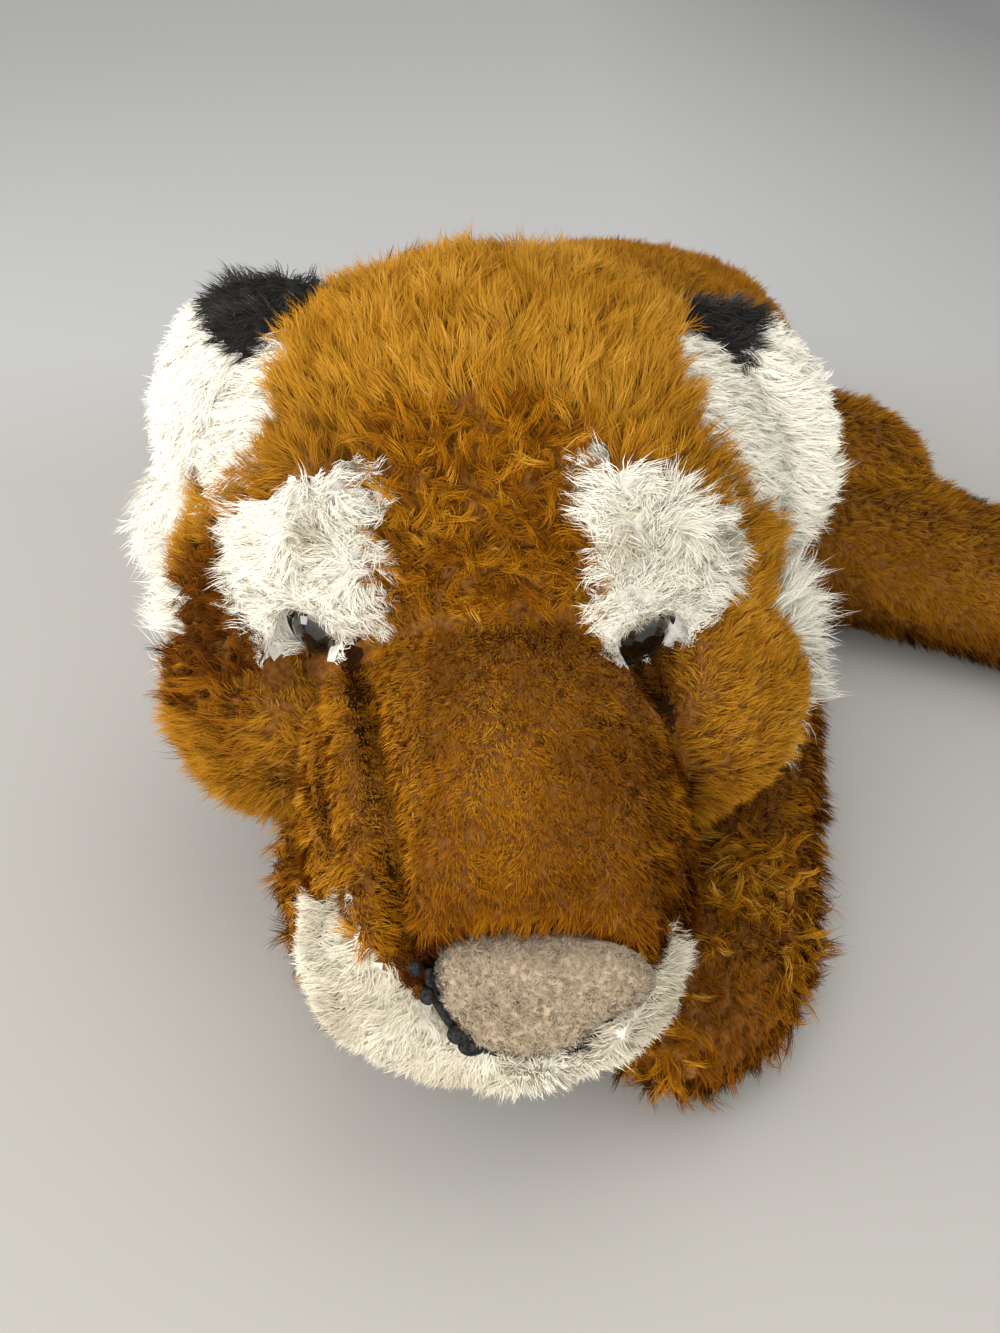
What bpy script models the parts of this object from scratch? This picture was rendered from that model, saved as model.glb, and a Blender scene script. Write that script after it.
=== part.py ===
"""A stuffed plush tiger that lies on its belly with its chin over its forepaws.

Metres, +Z up. The torso runs along Y with the rump towards +Y, and the origin is
the middle of the belly where it rests on the floor. Left and right are the tiger's own.
"""

import math

import bmesh
import bpy
from mathutils import Matrix, Vector
from mathutils.bvhtree import BVHTree

# Fits and fabric that every piece shares
SEAM_GAP = 0.0003
COVER_WALL = 0.003
FILLING_GAP = 0.0006
FLOOR_SINK = 0.0005
OVERRUN = 0.02
WELD = 0.000001
STAGGER = 0.00002
SWEEP_STEP_DEG = 5.0
CREASE_DEG = 50.0
AHEAD_SHARE = 0.01
TIP_SHARE = 0.000001
PROBE = Vector((0.47, 0.59, 0.66))

# How square the ends (fullness) and the sections of each form are, as powers: 2 is round
ROUND = 2.0
TORSO_FULLNESS = 3.6
TORSO_SECTION = 2.35
RUFF_FULLNESS = 3.0
MUZZLE_TOP_FULLNESS = 5.0
MUZZLE_TOP_SECTION = 2.4
MUZZLE_SIDE_FULLNESS = 4.0
MUZZLE_SIDE_SECTION = 2.1
NOSE_SECTION = 2.6
THREAD_FULLNESS = 40.0
LEG_FULLNESS = 5.0
LEG_SECTION = 2.15
TAIL_FULLNESS = 14.0

# Torso
TORSO_LENGTH = 0.36
TORSO_WIDTH = 0.186
TORSO_HEIGHT = 0.148
TORSO_FRONT = 0.165
TORSO_BEND = -0.012
BELLY_PANEL_DEPTH = 0.010
TORSO_WIDTH_SHARES = (0.90, 0.96, 0.95, 1.0, 0.98, 0.70)
TORSO_HEIGHT_SHARES = (0.74, 0.86, 0.93, 1.0, 0.97, 0.76)
TORSO_BEND_SHARES = (-0.3, 0.0, 0.3, 0.6, 0.9, 1.0)

# Head. The neck point is what the head nods about.
NECK_FORWARD = 0.13
NECK_HEIGHT = 0.095
HEAD_TURN_DEG = 17.0
HEAD_TILT_DEG = -1.5
HEAD_LIFT_DEG = 15.0
SKULL_WIDTH = 0.198
SKULL_LENGTH = 0.166
SKULL_HEIGHT = 0.156
SKULL_AHEAD = 0.030
SKULL_RISE = 0.036
NECK_OPENING = 0.080

# Cheeks and the long ruff behind them
CHEEK_WIDTH = 0.086
CHEEK_LENGTH = 0.098
CHEEK_HEIGHT = 0.086
CHEEK_SIDE = 0.064
CHEEK_AHEAD = 0.076
CHEEK_LOW = 0.012
CHEEK_REST_GAP = 0.0008
RUFF_WIDTH = 0.026
RUFF_DEPTH = 0.044
RUFF_SPINE_SHARES = (
    (1.00, 0.05, -0.42), (0.93, -0.05, -0.66), (0.72, -0.15, -0.86), (0.45, -0.22, -0.98),
)
RUFF_WIDTH_SHARES = (0.8, 1.0, 1.0, 0.9)
RUFF_DEPTH_SHARES = (0.8, 1.0, 1.0, 0.8)

# Muzzle
MUZZLE_START = 0.068
MUZZLE_LENGTH = 0.143
MUZZLE_SIDE_LENGTH = 0.118
MUZZLE_SKEW = 0.013
MUZZLE_TOP_WIDTH = 0.084
MUZZLE_TOP_OFFSET = 0.006
MUZZLE_TOP_HEIGHT = 0.066
MUZZLE_TOP_LIFT = 0.014
MUZZLE_TOP_DROP = 0.036
MUZZLE_SIDE_DROP = 0.049
MUZZLE_SIDE_WIDTH = 0.036
MUZZLE_SIDE_HEIGHT = 0.062
MUZZLE_SIDE_OFFSET = 0.040
MUZZLE_SIDE_LOW = 0.010
MUZZLE_TOP_WIDTH_SHARES = (1.0, 1.06, 1.04, 1.0, 0.98)
MUZZLE_TOP_HEIGHT_SHARES = (0.9, 1.0, 0.94, 0.74, 0.46)
MUZZLE_SIDE_WIDTH_SHARES = (0.8, 1.0, 1.05, 1.0, 0.85)
MUZZLE_SIDE_HEIGHT_SHARES = (0.9, 1.0, 1.0, 0.86, 0.62)
PAD_WIDTH = 0.058
PAD_LENGTH = 0.088
PAD_HEIGHT = 0.046
PAD_OFFSET = 0.026
PAD_AHEAD = 0.169
PAD_LOW = 0.033
CHIN_WIDTH = 0.056
CHIN_LENGTH = 0.078
CHIN_HEIGHT = 0.026
CHIN_AHEAD = 0.160
CHIN_LOW = 0.043

# Nose and mouth
NOSE_WIDTH = 0.056
NOSE_HEIGHT = 0.032
NOSE_THICKNESS = 0.011
NOSE_NARROWING_SHARE = 0.42
NOSE_OFFSET = 0.018
NOSE_AHEAD = 0.203
NOSE_LOW = 0.022
NOSE_LEAN_DEG = 16.0
NOSE_EDGE_STEP_DEG = 1.0
NOSE_LAYER_SHARES = ((-0.6, 1.0), (0.35, 1.0), (0.75, 0.93), (1.0, 0.76))
MOUTH_OFFSET = 0.007
MOUTH_THREAD = 0.0028
MOUTH_THREAD_RISE = 0.005
MOUTH_START_DEG = 158.0
MOUTH_POINTS = 13

# Eyes, with the felt they sit on and the washer that locks the stem
EYE_RADIUS = 0.010
EYE_DOME = 0.0065
EYE_DOME_RINGS = 5
EYE_SIDE = 0.0505
EYE_LOW = 0.012
EYE_STEM_RADIUS = 0.0022
EYE_STEM_LENGTH = 0.013
EYE_RIDGE = 0.0005
EYE_RIDGES = 5
FELT_RADIUS = 0.0125
FELT_THICKNESS = 0.0015
WASHER_RADIUS = 0.0075
WASHER_THICKNESS = 0.0016
PATCH_WIDTH = 0.050
PATCH_HEIGHT = 0.072
PATCH_THICKNESS = 0.018
PATCH_SIDE = 0.053
PATCH_RISE = 0.014

# Ears
EAR_LENGTH = 0.104
EAR_REACH = 0.080
EAR_THICKNESS = 0.020
EAR_SIDE = 0.080
EAR_RISE = 0.026
EAR_LEFT_DROP = 0.010
EAR_BACK = 0.012
EAR_LEAN_DEG = 60.0
EAR_TURN_DEG = 10.0
LINING_SIZE_SHARE = 0.84
LINING_THICKNESS = 0.015
LINING_OFFSET = 0.011
EAR_FOLD_BACK_DEG = 10.0
EAR_FOLD_FRONT_DEG = 15.0

# Forelegs: sideways and forward places of their roots from the belly's middle
FORELEG_LENGTH = 0.234
FORELEG_WIDTH = 0.070
FORELEG_HEIGHT = 0.058
FORELEG_ROOT = 0.031
SHOULDER_RADIUS = 0.038
FORELEG_LEFT_SIDE = 0.083
FORELEG_LEFT_FORWARD = 0.060
FORELEG_LEFT_TURN_DEG = 27.0
FORELEG_LEFT_PAW_TURN_DEG = -37.0
FORELEG_LEFT_SPLAY_DEG = 35.0
FORELEG_RIGHT_SIDE = 0.074
FORELEG_RIGHT_FORWARD = 0.088
FORELEG_RIGHT_TURN_DEG = 12.0
FORELEG_RIGHT_PAW_TURN_DEG = 28.0
FORELEG_RIGHT_SPLAY_DEG = 50.0
FORELEG_WIDTH_SHARES = (0.94, 0.90, 0.84, 0.86, 1.0, 1.0)
FORELEG_LEFT_HEIGHT_SHARES = (1.0, 0.92, 0.72, 0.62, 0.62, 0.64)
FORELEG_RIGHT_HEIGHT_SHARES = (1.0, 0.88, 0.66, 0.60, 0.60, 0.60)

# Hind legs
HINDLEG_LENGTH = 0.235
HINDLEG_WIDTH = 0.078
HINDLEG_HEIGHT = 0.066
HINDLEG_ROOT = 0.033
HAUNCH_RADIUS = 0.048
HINDLEG_SIDE = 0.088
HINDLEG_BACKWARD = 0.048
HIP_BEND_SHARE = 0.6
HINDLEG_LEFT_TURN_DEG = 78.0
HINDLEG_LEFT_FOOT_TURN_DEG = -4.0
HINDLEG_LEFT_FORWARD_DEG = 25.0
HINDLEG_LEFT_BACK_DEG = 20.0
HINDLEG_RIGHT_TURN_DEG = -132.0
HINDLEG_RIGHT_FOOT_TURN_DEG = 16.0
HINDLEG_RIGHT_FORWARD_DEG = 45.0
HINDLEG_WIDTH_SHARES = (1.18, 1.26, 1.16, 0.96, 0.86, 0.88)
HINDLEG_HEIGHT_SHARES = (1.0, 1.04, 0.98, 0.84, 0.78, 0.80)

# What fills a leg starts this share along it, and goes in through a channel in its root
LEG_FILLING_START_SHARE = 0.2
LEG_FILLING_END_SHARE = 0.97
LEG_CHANNEL_RADIUS = 0.008
LEG_TUCK_SHARE = 0.45

# Tail, sewn up from bands of orange and black. The route lists (sideways, backward, lift) shares.
TAIL_WIDTH = 0.044
TAIL_ROOT = 0.021
TAIL_ROOT_RADIUS = 0.025
TAIL_INSET = 0.007
TAIL_HEIGHT = 0.050
TAIL_STRETCH = 0.046
TAIL_SWING_LEFT_DEG = 60.0
TAIL_SWING_RIGHT_DEG = 8.0
TAIL_ROUTE_SHARES = (
    (0.0, 0.0, 1.0), (-0.05, 1.1, 0.42), (-0.4, 2.2, 0.0), (-1.15, 3.15, 0.0),
    (-2.25, 3.65, 0.0), (-3.45, 3.65, 0.0), (-4.6, 3.2, 0.0),
)
TAIL_BAND_SHARES = (0.0, 0.23, 0.29, 0.44, 0.50, 0.64, 0.71, 0.82, 1.0)
TAIL_WIDTH_SHARES = (0.92, 1.0, 0.98, 0.96, 0.94, 0.98, 0.98)

# How finely each form is faceted
BODY_SIDES = 26
BODY_RINGS = 18
LIMB_SIDES = 16
LIMB_RINGS = 12
PANEL_SIDES = 16
PANEL_RINGS = 10
CHIN_SIDES = 14
FILL_SIDES = 16
FILL_RINGS = 10
LEG_FILL_SIDES = 10
LEG_FILL_RINGS = 6
SMALL_SIDES = 16
BALL_SIDES = 16
BALL_RINGS = 10
ROOT_SIDES = 20
TAIL_SIDES = 12
TAIL_BAND_RINGS = 3
TAIL_TIP_RINGS = 6
THREAD_SIDES = 8
THREAD_RINGS = 22
OUTLINE_POINTS = 20

COLOURS = {
    "orange": (0.42, 0.17, 0.025),
    "black": (0.015, 0.014, 0.014),
    "white": (0.82, 0.80, 0.74),
    "nose": (0.66, 0.45, 0.34),
    "filling": (0.86, 0.86, 0.84),
    "eye": (0.02, 0.012, 0.008),
    "washer": (0.75, 0.75, 0.72),
}


def material(colour, roughness=0.95):
    """The named colour's Principled material, made once."""
    found = bpy.data.materials.get(colour)
    if found:
        return found
    made = bpy.data.materials.new(colour)
    made.use_nodes = True
    shader = made.node_tree.nodes["Principled BSDF"]
    shader.inputs["Base Color"].default_value = (*COLOURS[colour], 1.0)
    shader.inputs["Roughness"].default_value = roughness
    shader.inputs["Metallic"].default_value = 0.0
    return made


def new_object(name, bm, colour):
    """Wraps a bmesh as an object of that colour, shaded smooth except at its creases."""
    bmesh.ops.recalc_face_normals(bm, faces=bm.faces)
    mesh = bpy.data.meshes.new(name)
    bm.to_mesh(mesh)
    bm.free()
    mesh.shade_smooth()
    mesh.set_sharp_from_angle(angle=math.radians(CREASE_DEG))
    mesh.materials.append(material(colour))
    obj = bpy.data.objects.new(name, mesh)
    bpy.context.scene.collection.objects.link(obj)
    return obj


def spline(values, share):
    """The Catmull-Rom value at a share, 0 to 1, of a list of numbers or vectors."""
    place = share * (len(values) - 1)
    index = min(int(place), len(values) - 2)
    t = place - index
    before = values[max(index - 1, 0)]
    start, end = values[index], values[index + 1]
    after = values[min(index + 2, len(values) - 1)]
    return 0.5 * (
        2 * start
        + (end - before) * t
        + (2 * before - 5 * start + 4 * end - after) * t**2
        + (3 * start - before - 3 * end + after) * t**3
    )


def power_round(angle, power):
    """A point on the unit superellipse, which is a circle at power 2 and squarer above it."""
    c, s = math.cos(angle), math.sin(angle)
    return (
        math.copysign(abs(c) ** (2 / power), c),
        math.copysign(abs(s) ** (2 / power), s),
    )


def stuffed_form(spine, widths, heights, sides, rings, fullness, section, grow=0.0, span=(0.0, 1.0)):
    """A closed bmesh that swells along a spine, with domed ends and an elliptical section.

    Widths and heights are full sizes at even shares of the spine. A span that stops short
    of an end is cut flat there. Grow makes the whole form larger by that much all round.
    """
    bm = bmesh.new()
    loops = []
    first, last = span
    for ring in range(rings + 1):
        turn = math.pi * ring / rings
        if span == (0.0, 1.0):
            even = 0.5 - 0.5 * math.cos(turn)
        else:
            even = math.sin(turn / 2) if last == 1.0 else ring / rings
        share = first + (last - first) * even
        dome = max(0.0, 1.0 - abs(2 * share - 1) ** fullness) ** 0.5
        centre = spline(spine, share)
        after, before = min(share + AHEAD_SHARE, 1.0), max(share - AHEAD_SHARE, 0.0)
        ahead = (spline(spine, after) - spline(spine, before)).normalized()
        centre = centre + ahead * grow * (2 * share - 1)
        side = ahead.cross(Vector((0, 0, 1))).normalized()
        up = side.cross(ahead)
        half_width = spline(widths, share) / 2 * dome + grow
        half_height = spline(heights, share) / 2 * dome + grow
        if dome < TIP_SHARE:
            loops.append([bm.verts.new(centre)])
            continue
        points = [power_round(math.tau * k / sides, section) for k in range(sides)]
        loops.append([
            bm.verts.new(centre + side * (x * half_width) + up * (z * half_height)) for x, z in points
        ])
    for near, far in zip(loops, loops[1:]):
        for k in range(sides):
            after = (k + 1) % sides
            if len(near) == 1:
                bm.faces.new((near[0], far[k], far[after]))
            elif len(far) == 1:
                bm.faces.new((near[k], near[after], far[0]))
            else:
                bm.faces.new((near[k], near[after], far[after], far[k]))
    for end in (loops[0], loops[-1]):
        if len(end) > 1:
            bm.faces.new(end)
    return bm


def ellipsoid(size, sides, rings, grow=0.0):
    """A closed bmesh of an ellipsoid with these full sizes, centred on the origin."""
    bm = bmesh.new()
    bmesh.ops.create_uvsphere(bm, u_segments=sides, v_segments=rings, radius=1.0)
    bmesh.ops.scale(bm, vec=Vector([extent / 2 + grow for extent in size]), verts=bm.verts)
    return bm


def turned(profile, sides):
    """A closed bmesh that spins a profile of (radius, along) points about the Z axis."""
    bm = bmesh.new()
    points = [bm.verts.new((radius, 0, along)) for radius, along in profile]
    edges = [bm.edges.new(pair) for pair in zip(points, points[1:])]
    bmesh.ops.spin(
        bm, geom=points + edges, cent=(0, 0, 0), axis=(0, 0, 1), angle=math.tau, steps=sides,
        use_duplicate=False,
    )
    bmesh.ops.remove_doubles(bm, verts=bm.verts, dist=WELD)
    return bm


def domed_pad(outline, thickness, layer_shares):
    """A closed bmesh of a flat-backed pad.

    Its outline draws in by layers of (height share, size share).
    """
    bm = bmesh.new()
    loops = []
    for height_share, size_share in layer_shares:
        height = thickness * height_share
        loops.append([bm.verts.new((x * size_share, y * size_share, height)) for x, y in outline])
    for near, far in zip(loops, loops[1:]):
        for k in range(len(outline)):
            after = (k + 1) % len(outline)
            bm.faces.new((near[k], near[after], far[after], far[k]))
    bm.faces.new(loops[0])
    bm.faces.new(loops[-1])
    return bm


def placed(bm, matrix):
    bmesh.ops.transform(bm, matrix=matrix, verts=bm.verts)
    return bm


def helper(name, bm):
    """A cutter, which is never part of the model."""
    obj = new_object(name, bm, "filling")
    obj.hide_render = True
    obj.display_type = "WIRE"
    return obj


def tree_of(obj):
    places = [vertex.co for vertex in obj.data.vertices]
    return BVHTree.FromPolygons(places, [polygon.vertices for polygon in obj.data.polygons])


def holds(tree, point):
    """Whether a closed form holds a point: a line from it then crosses the surface an odd number of times."""
    crossings = 0
    hit = tree.ray_cast(point, PROBE)[0]
    while hit:
        crossings += 1
        hit = tree.ray_cast(hit + PROBE * STAGGER, PROBE)[0]
    return crossings % 2 == 1


def meets(obj, cutter):
    """Whether two closed forms share any space."""
    if not obj.data.polygons or not cutter.data.polygons:
        return False
    ours, theirs = tree_of(obj), tree_of(cutter)
    return bool(
        ours.overlap(theirs)
        or holds(ours, cutter.data.vertices[0].co)
        or holds(theirs, obj.data.vertices[0].co)
    )


def carve(obj, cutters, operation="DIFFERENCE"):
    """Applies one Boolean after another, and drops loose offcuts smaller than the main body."""
    for cutter in cutters:
        if not meets(obj, cutter):
            continue
        step = obj.modifiers.new(cutter.name, "BOOLEAN")
        step.operation = operation
        step.object = cutter
        step.solver = "EXACT"
        graph = bpy.context.evaluated_depsgraph_get()
        graph.update()
        mesh = bpy.data.meshes.new_from_object(obj.evaluated_get(graph))
        obj.modifiers.clear()
        obj.data = mesh
    keep_largest(obj.data)
    obj.data.shade_smooth()
    obj.data.set_sharp_from_angle(angle=math.radians(CREASE_DEG))
    return obj


def keep_largest(mesh):
    """Deletes every loose island of a mesh but the one with the most surface."""
    bm = bmesh.new()
    bm.from_mesh(mesh)
    left = set(bm.faces)
    islands = []
    while left:
        stack, island = [left.pop()], []
        while stack:
            face = stack.pop()
            island.append(face)
            for edge in face.edges:
                for other in edge.link_faces:
                    if other in left:
                        left.remove(other)
                        stack.append(other)
        islands.append(island)
    islands.sort(key=lambda island: sum(face.calc_area() for face in island))
    for island in islands[:-1]:
        bmesh.ops.delete(bm, geom=island, context="FACES")
    bm.to_mesh(mesh)
    bm.free()


def rotation_about(point, axis, degrees):
    turn = Matrix.Rotation(math.radians(degrees), 4, axis)
    return Matrix.Translation(point) @ turn @ Matrix.Translation(-point)


def sweep_angles(lowest, highest):
    """Angles from one limit to the other, close enough together for a cutter to sweep."""
    count = max(1, math.ceil((highest - lowest) / SWEEP_STEP_DEG))
    return [lowest + (highest - lowest) * k / count for k in range(count + 1)]


def heading(degrees):
    """The level direction that is forward, -Y, turned that far towards the tiger's left, +X."""
    return Vector((math.sin(math.radians(degrees)), -math.cos(math.radians(degrees)), 0))


# Places on the torso

def torso_form(grow=0.0, sides=BODY_SIDES, rings=BODY_RINGS):
    """The whole stuffed torso before anything is cut from it."""
    spine = [
        Vector((
            TORSO_BEND * bend,
            -TORSO_FRONT + TORSO_LENGTH * k / (len(TORSO_BEND_SHARES) - 1),
            TORSO_HEIGHT * height / 2 - FLOOR_SINK,
        ))
        for k, (bend, height) in enumerate(zip(TORSO_BEND_SHARES, TORSO_HEIGHT_SHARES))
    ]
    widths = [TORSO_WIDTH * share for share in TORSO_WIDTH_SHARES]
    heights = [TORSO_HEIGHT * share for share in TORSO_HEIGHT_SHARES]
    return stuffed_form(spine, widths, heights, sides, rings, TORSO_FULLNESS, TORSO_SECTION, grow)


def root_form(root, radius, half_height, grow=0.0):
    """The upright spheroid by which a leg or the tail turns in the torso.

    Where it is grown its flats, and not its edges, stand clear of the spheroid, so that this can turn.
    """
    flats = radius * (1 / math.cos(math.pi / ROOT_SIDES) - 1) if grow else 0.0
    size = (2 * radius, 2 * radius, 2 * half_height)
    return placed(ellipsoid(size, ROOT_SIDES, BALL_RINGS, grow + flats), Matrix.Translation(root))


def cut_flat(bm, point, normal):
    """Takes off all that lies past a plane, on the side of its normal, and closes the cut."""
    geometry = list(bm.verts) + list(bm.edges) + list(bm.faces)
    cut = bmesh.ops.bisect_plane(
        bm, geom=geometry, dist=WELD, plane_co=point, plane_no=normal, clear_outer=True
    )
    rim = [element for element in cut["geom_cut"] if isinstance(element, bmesh.types.BMEdge)]
    if rim:
        bmesh.ops.edgenet_fill(bm, edges=rim)
    return bm


def above(bm, height=0.0):
    return cut_flat(bm, (0, 0, height), (0, 0, -1))


def below(bm, height):
    return cut_flat(bm, (0, 0, height), (0, 0, 1))


# The head's own frame: origin at the neck point, forward -Y, +X its left

NECK = Vector((0, -NECK_FORWARD, NECK_HEIGHT))
HEAD_FRAME = (
    Matrix.Translation(NECK)
    @ Matrix.Rotation(math.radians(HEAD_TURN_DEG), 4, "Z")
    @ Matrix.Rotation(math.radians(HEAD_TILT_DEG), 4, "Y")
)
SKULL_CENTRE = Vector((0, -SKULL_AHEAD, SKULL_RISE))
SKULL_HALF = Vector((SKULL_WIDTH, SKULL_LENGTH, SKULL_HEIGHT)) / 2


def skull_form(grow=0.0, sides=BODY_SIDES, rings=BODY_RINGS):
    return placed(
        ellipsoid((SKULL_WIDTH, SKULL_LENGTH, SKULL_HEIGHT), sides, rings, grow),
        Matrix.Translation(SKULL_CENTRE),
    )


def face_point(sideways, rise):
    """The point on the front of the skull that far sideways and above its middle, and the normal there."""
    across = sideways / SKULL_HALF.x
    up = rise / SKULL_HALF.z
    forward = math.sqrt(max(0.0, 1 - across**2 - up**2))
    point = SKULL_CENTRE + Vector((sideways, -forward * SKULL_HALF.y, rise))
    normal = Vector((across / SKULL_HALF.x, -forward / SKULL_HALF.y, up / SKULL_HALF.z)).normalized()
    return point, normal


def facing(point, normal):
    """A frame at a point whose Z is the normal and whose Y leans as near up as it can."""
    across = Vector((0, 0, 1)).cross(normal).normalized()
    up = normal.cross(across)
    turn = Matrix((across, up, normal)).transposed().to_4x4()
    return Matrix.Translation(point) @ turn


def skull_shares(shares):
    """A place inside the skull given as shares of its half sizes from its middle."""
    return SKULL_CENTRE + Vector([share * half for share, half in zip(shares, SKULL_HALF)])


def mirrored(vector, side):
    return Vector((vector.x * side, vector.y, vector.z))


def muzzle_spine(offset, lift, drop, length):
    """The slanting line that a muzzle panel swells along, from inside the skull towards the nose."""
    start = Vector((offset, -MUZZLE_START, lift))
    slant = Vector((MUZZLE_SKEW, -MUZZLE_LENGTH, -drop)) * (length / MUZZLE_LENGTH)
    last = len(MUZZLE_TOP_WIDTH_SHARES) - 1
    return [start + slant * k / last for k in range(last + 1)]


def muzzle_top_form(grow=0.0):
    widths = [MUZZLE_TOP_WIDTH * share for share in MUZZLE_TOP_WIDTH_SHARES]
    heights = [MUZZLE_TOP_HEIGHT * share for share in MUZZLE_TOP_HEIGHT_SHARES]
    spine = muzzle_spine(MUZZLE_TOP_OFFSET, MUZZLE_TOP_LIFT, MUZZLE_TOP_DROP, MUZZLE_LENGTH)
    fullness, section = MUZZLE_TOP_FULLNESS, MUZZLE_TOP_SECTION
    return stuffed_form(spine, widths, heights, BALL_SIDES, PANEL_RINGS + 2, fullness, section, grow)


def muzzle_side_form(side, grow=0.0):
    widths = [MUZZLE_SIDE_WIDTH * share for share in MUZZLE_SIDE_WIDTH_SHARES]
    heights = [MUZZLE_SIDE_HEIGHT * share for share in MUZZLE_SIDE_HEIGHT_SHARES]
    spine = muzzle_spine(
        side * MUZZLE_SIDE_OFFSET, MUZZLE_TOP_LIFT - MUZZLE_SIDE_LOW, MUZZLE_SIDE_DROP, MUZZLE_SIDE_LENGTH
    )
    fullness, section = MUZZLE_SIDE_FULLNESS, MUZZLE_SIDE_SECTION
    return stuffed_form(spine, widths, heights, PANEL_SIDES, PANEL_RINGS, fullness, section, grow)


def head_ellipsoid(size, place, sides, rings, grow=0.0):
    return placed(ellipsoid(size, sides, rings, grow), Matrix.Translation(place))


def pad_form(side, grow=0.0):
    place = Vector((side * PAD_OFFSET + MOUTH_OFFSET, -PAD_AHEAD, -PAD_LOW))
    return head_ellipsoid((PAD_WIDTH, PAD_LENGTH, PAD_HEIGHT), place, PANEL_SIDES, PANEL_RINGS, grow)


def chin_form(grow=0.0):
    place = Vector((MOUTH_OFFSET, -CHIN_AHEAD, -CHIN_LOW))
    return head_ellipsoid((CHIN_WIDTH, CHIN_LENGTH, CHIN_HEIGHT), place, CHIN_SIDES, PANEL_RINGS, grow)


def cheek_form(side, grow=0.0):
    place = Vector((side * CHEEK_SIDE, -CHEEK_AHEAD, -CHEEK_LOW))
    size = (CHEEK_WIDTH, CHEEK_LENGTH, CHEEK_HEIGHT)
    return head_ellipsoid(size, place, BALL_SIDES, PANEL_RINGS + 2, grow)


def patch_form(side, grow=0.0):
    point, normal = face_point(side * PATCH_SIDE, PATCH_RISE)
    return placed(
        ellipsoid((PATCH_WIDTH, PATCH_HEIGHT, PATCH_THICKNESS), PANEL_SIDES, PANEL_RINGS, grow),
        facing(point, normal),
    )


def ruff_form(side, grow=0.0):
    spine = [mirrored(skull_shares(shares), side) for shares in RUFF_SPINE_SHARES]
    widths = [RUFF_WIDTH * share for share in RUFF_WIDTH_SHARES]
    depths = [RUFF_DEPTH * share for share in RUFF_DEPTH_SHARES]
    return stuffed_form(spine, depths, widths, PANEL_SIDES, PANEL_RINGS, RUFF_FULLNESS, ROUND, grow)


def nose_frame():
    """The nose's own frame: Z out of its face, Y up along it, seated on the front of the muzzle."""
    lean = math.radians(NOSE_LEAN_DEG)
    normal = Vector((0, -math.cos(lean), math.sin(lean)))
    return facing(Vector((NOSE_OFFSET, -NOSE_AHEAD, -NOSE_LOW)), normal)


def nose_edge(angle, grow=0.0):
    """A point that far outside the nose's rounded outline, which narrows downwards."""

    def at(turn):
        across, up = power_round(turn, NOSE_SECTION)
        narrowing = 1 - NOSE_NARROWING_SHARE / 2 * (1 - up)
        return Vector((across * narrowing * NOSE_WIDTH / 2, up * NOSE_HEIGHT / 2))

    step = math.radians(NOSE_EDGE_STEP_DEG)
    along = at(angle + step) - at(angle - step)
    outward = Vector((along.y, -along.x)).normalized()
    return at(angle) + outward * grow


def nose_outline(grow=0.0):
    return [nose_edge(math.tau * k / OUTLINE_POINTS, grow) for k in range(OUTLINE_POINTS)]


def nose_form():
    """The fleece nose, flat behind and domed in front."""
    return domed_pad(nose_outline(), NOSE_THICKNESS, NOSE_LAYER_SHARES)


def mouth_form():
    """The black thread that runs round the nose's lower edge from corner to corner."""
    turn = math.radians(MOUTH_START_DEG)
    span = 3 * math.pi - 2 * turn
    spine = []
    for k in range(MOUTH_POINTS):
        x, y = nose_edge(turn + span * k / (MOUTH_POINTS - 1), MOUTH_THREAD / 2 + 2 * SEAM_GAP)
        spine.append(Vector((x, y, MOUTH_THREAD_RISE)))
    thickness = [MOUTH_THREAD] * len(spine)
    return stuffed_form(spine, thickness, thickness, THREAD_SIDES, THREAD_RINGS, THREAD_FULLNESS, ROUND)


def nose_pocket():
    """The room that the nose and its thread take out of the muzzle, open to the front."""
    back, _ = NOSE_LAYER_SHARES[0]
    bottom = (back * NOSE_THICKNESS - SEAM_GAP) / OVERRUN
    outline = nose_outline(MOUTH_THREAD + 4 * SEAM_GAP)
    form = domed_pad(outline, OVERRUN, ((bottom, 1.0), (1.0, 1.0)))
    return helper("nose_pocket", placed(form, HEAD_FRAME @ nose_frame()))


def eye_frame(side):
    """The eye's own frame: Z out along its stem, seated on the skull's cover."""
    return facing(*face_point(side * EYE_SIDE, -EYE_LOW))


def cylinder(radius, bottom, top):
    return turned([(0, top), (radius, top), (radius, bottom), (0, bottom)], SMALL_SIDES)


def washer_top():
    """How far below the eye's seat the washer's face lies: under the felt and the cover."""
    return -FELT_THICKNESS - COVER_WALL - 3 * SEAM_GAP


def eye_pocket(side, name):
    """What the eye, its felt, its stem and the washer take out of everything round them."""
    hole = EYE_STEM_RADIUS + EYE_RIDGE + SEAM_GAP
    seat = -FELT_THICKNESS - SEAM_GAP
    shelf = washer_top() + SEAM_GAP
    floor = washer_top() - WASHER_THICKNESS - SEAM_GAP
    profile = [
        (0, EYE_DOME + OVERRUN),
        (FELT_RADIUS + SEAM_GAP, EYE_DOME + OVERRUN),
        (FELT_RADIUS + SEAM_GAP, seat),
        (hole, seat),
        (hole, shelf),
        (WASHER_RADIUS + SEAM_GAP, shelf),
        (WASHER_RADIUS + SEAM_GAP, floor),
        (hole, floor),
        (hole, -EYE_STEM_LENGTH - SEAM_GAP),
        (0, -EYE_STEM_LENGTH - SEAM_GAP),
    ]
    return helper(name, placed(turned(profile, SMALL_SIDES), HEAD_FRAME @ eye_frame(side)))


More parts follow.
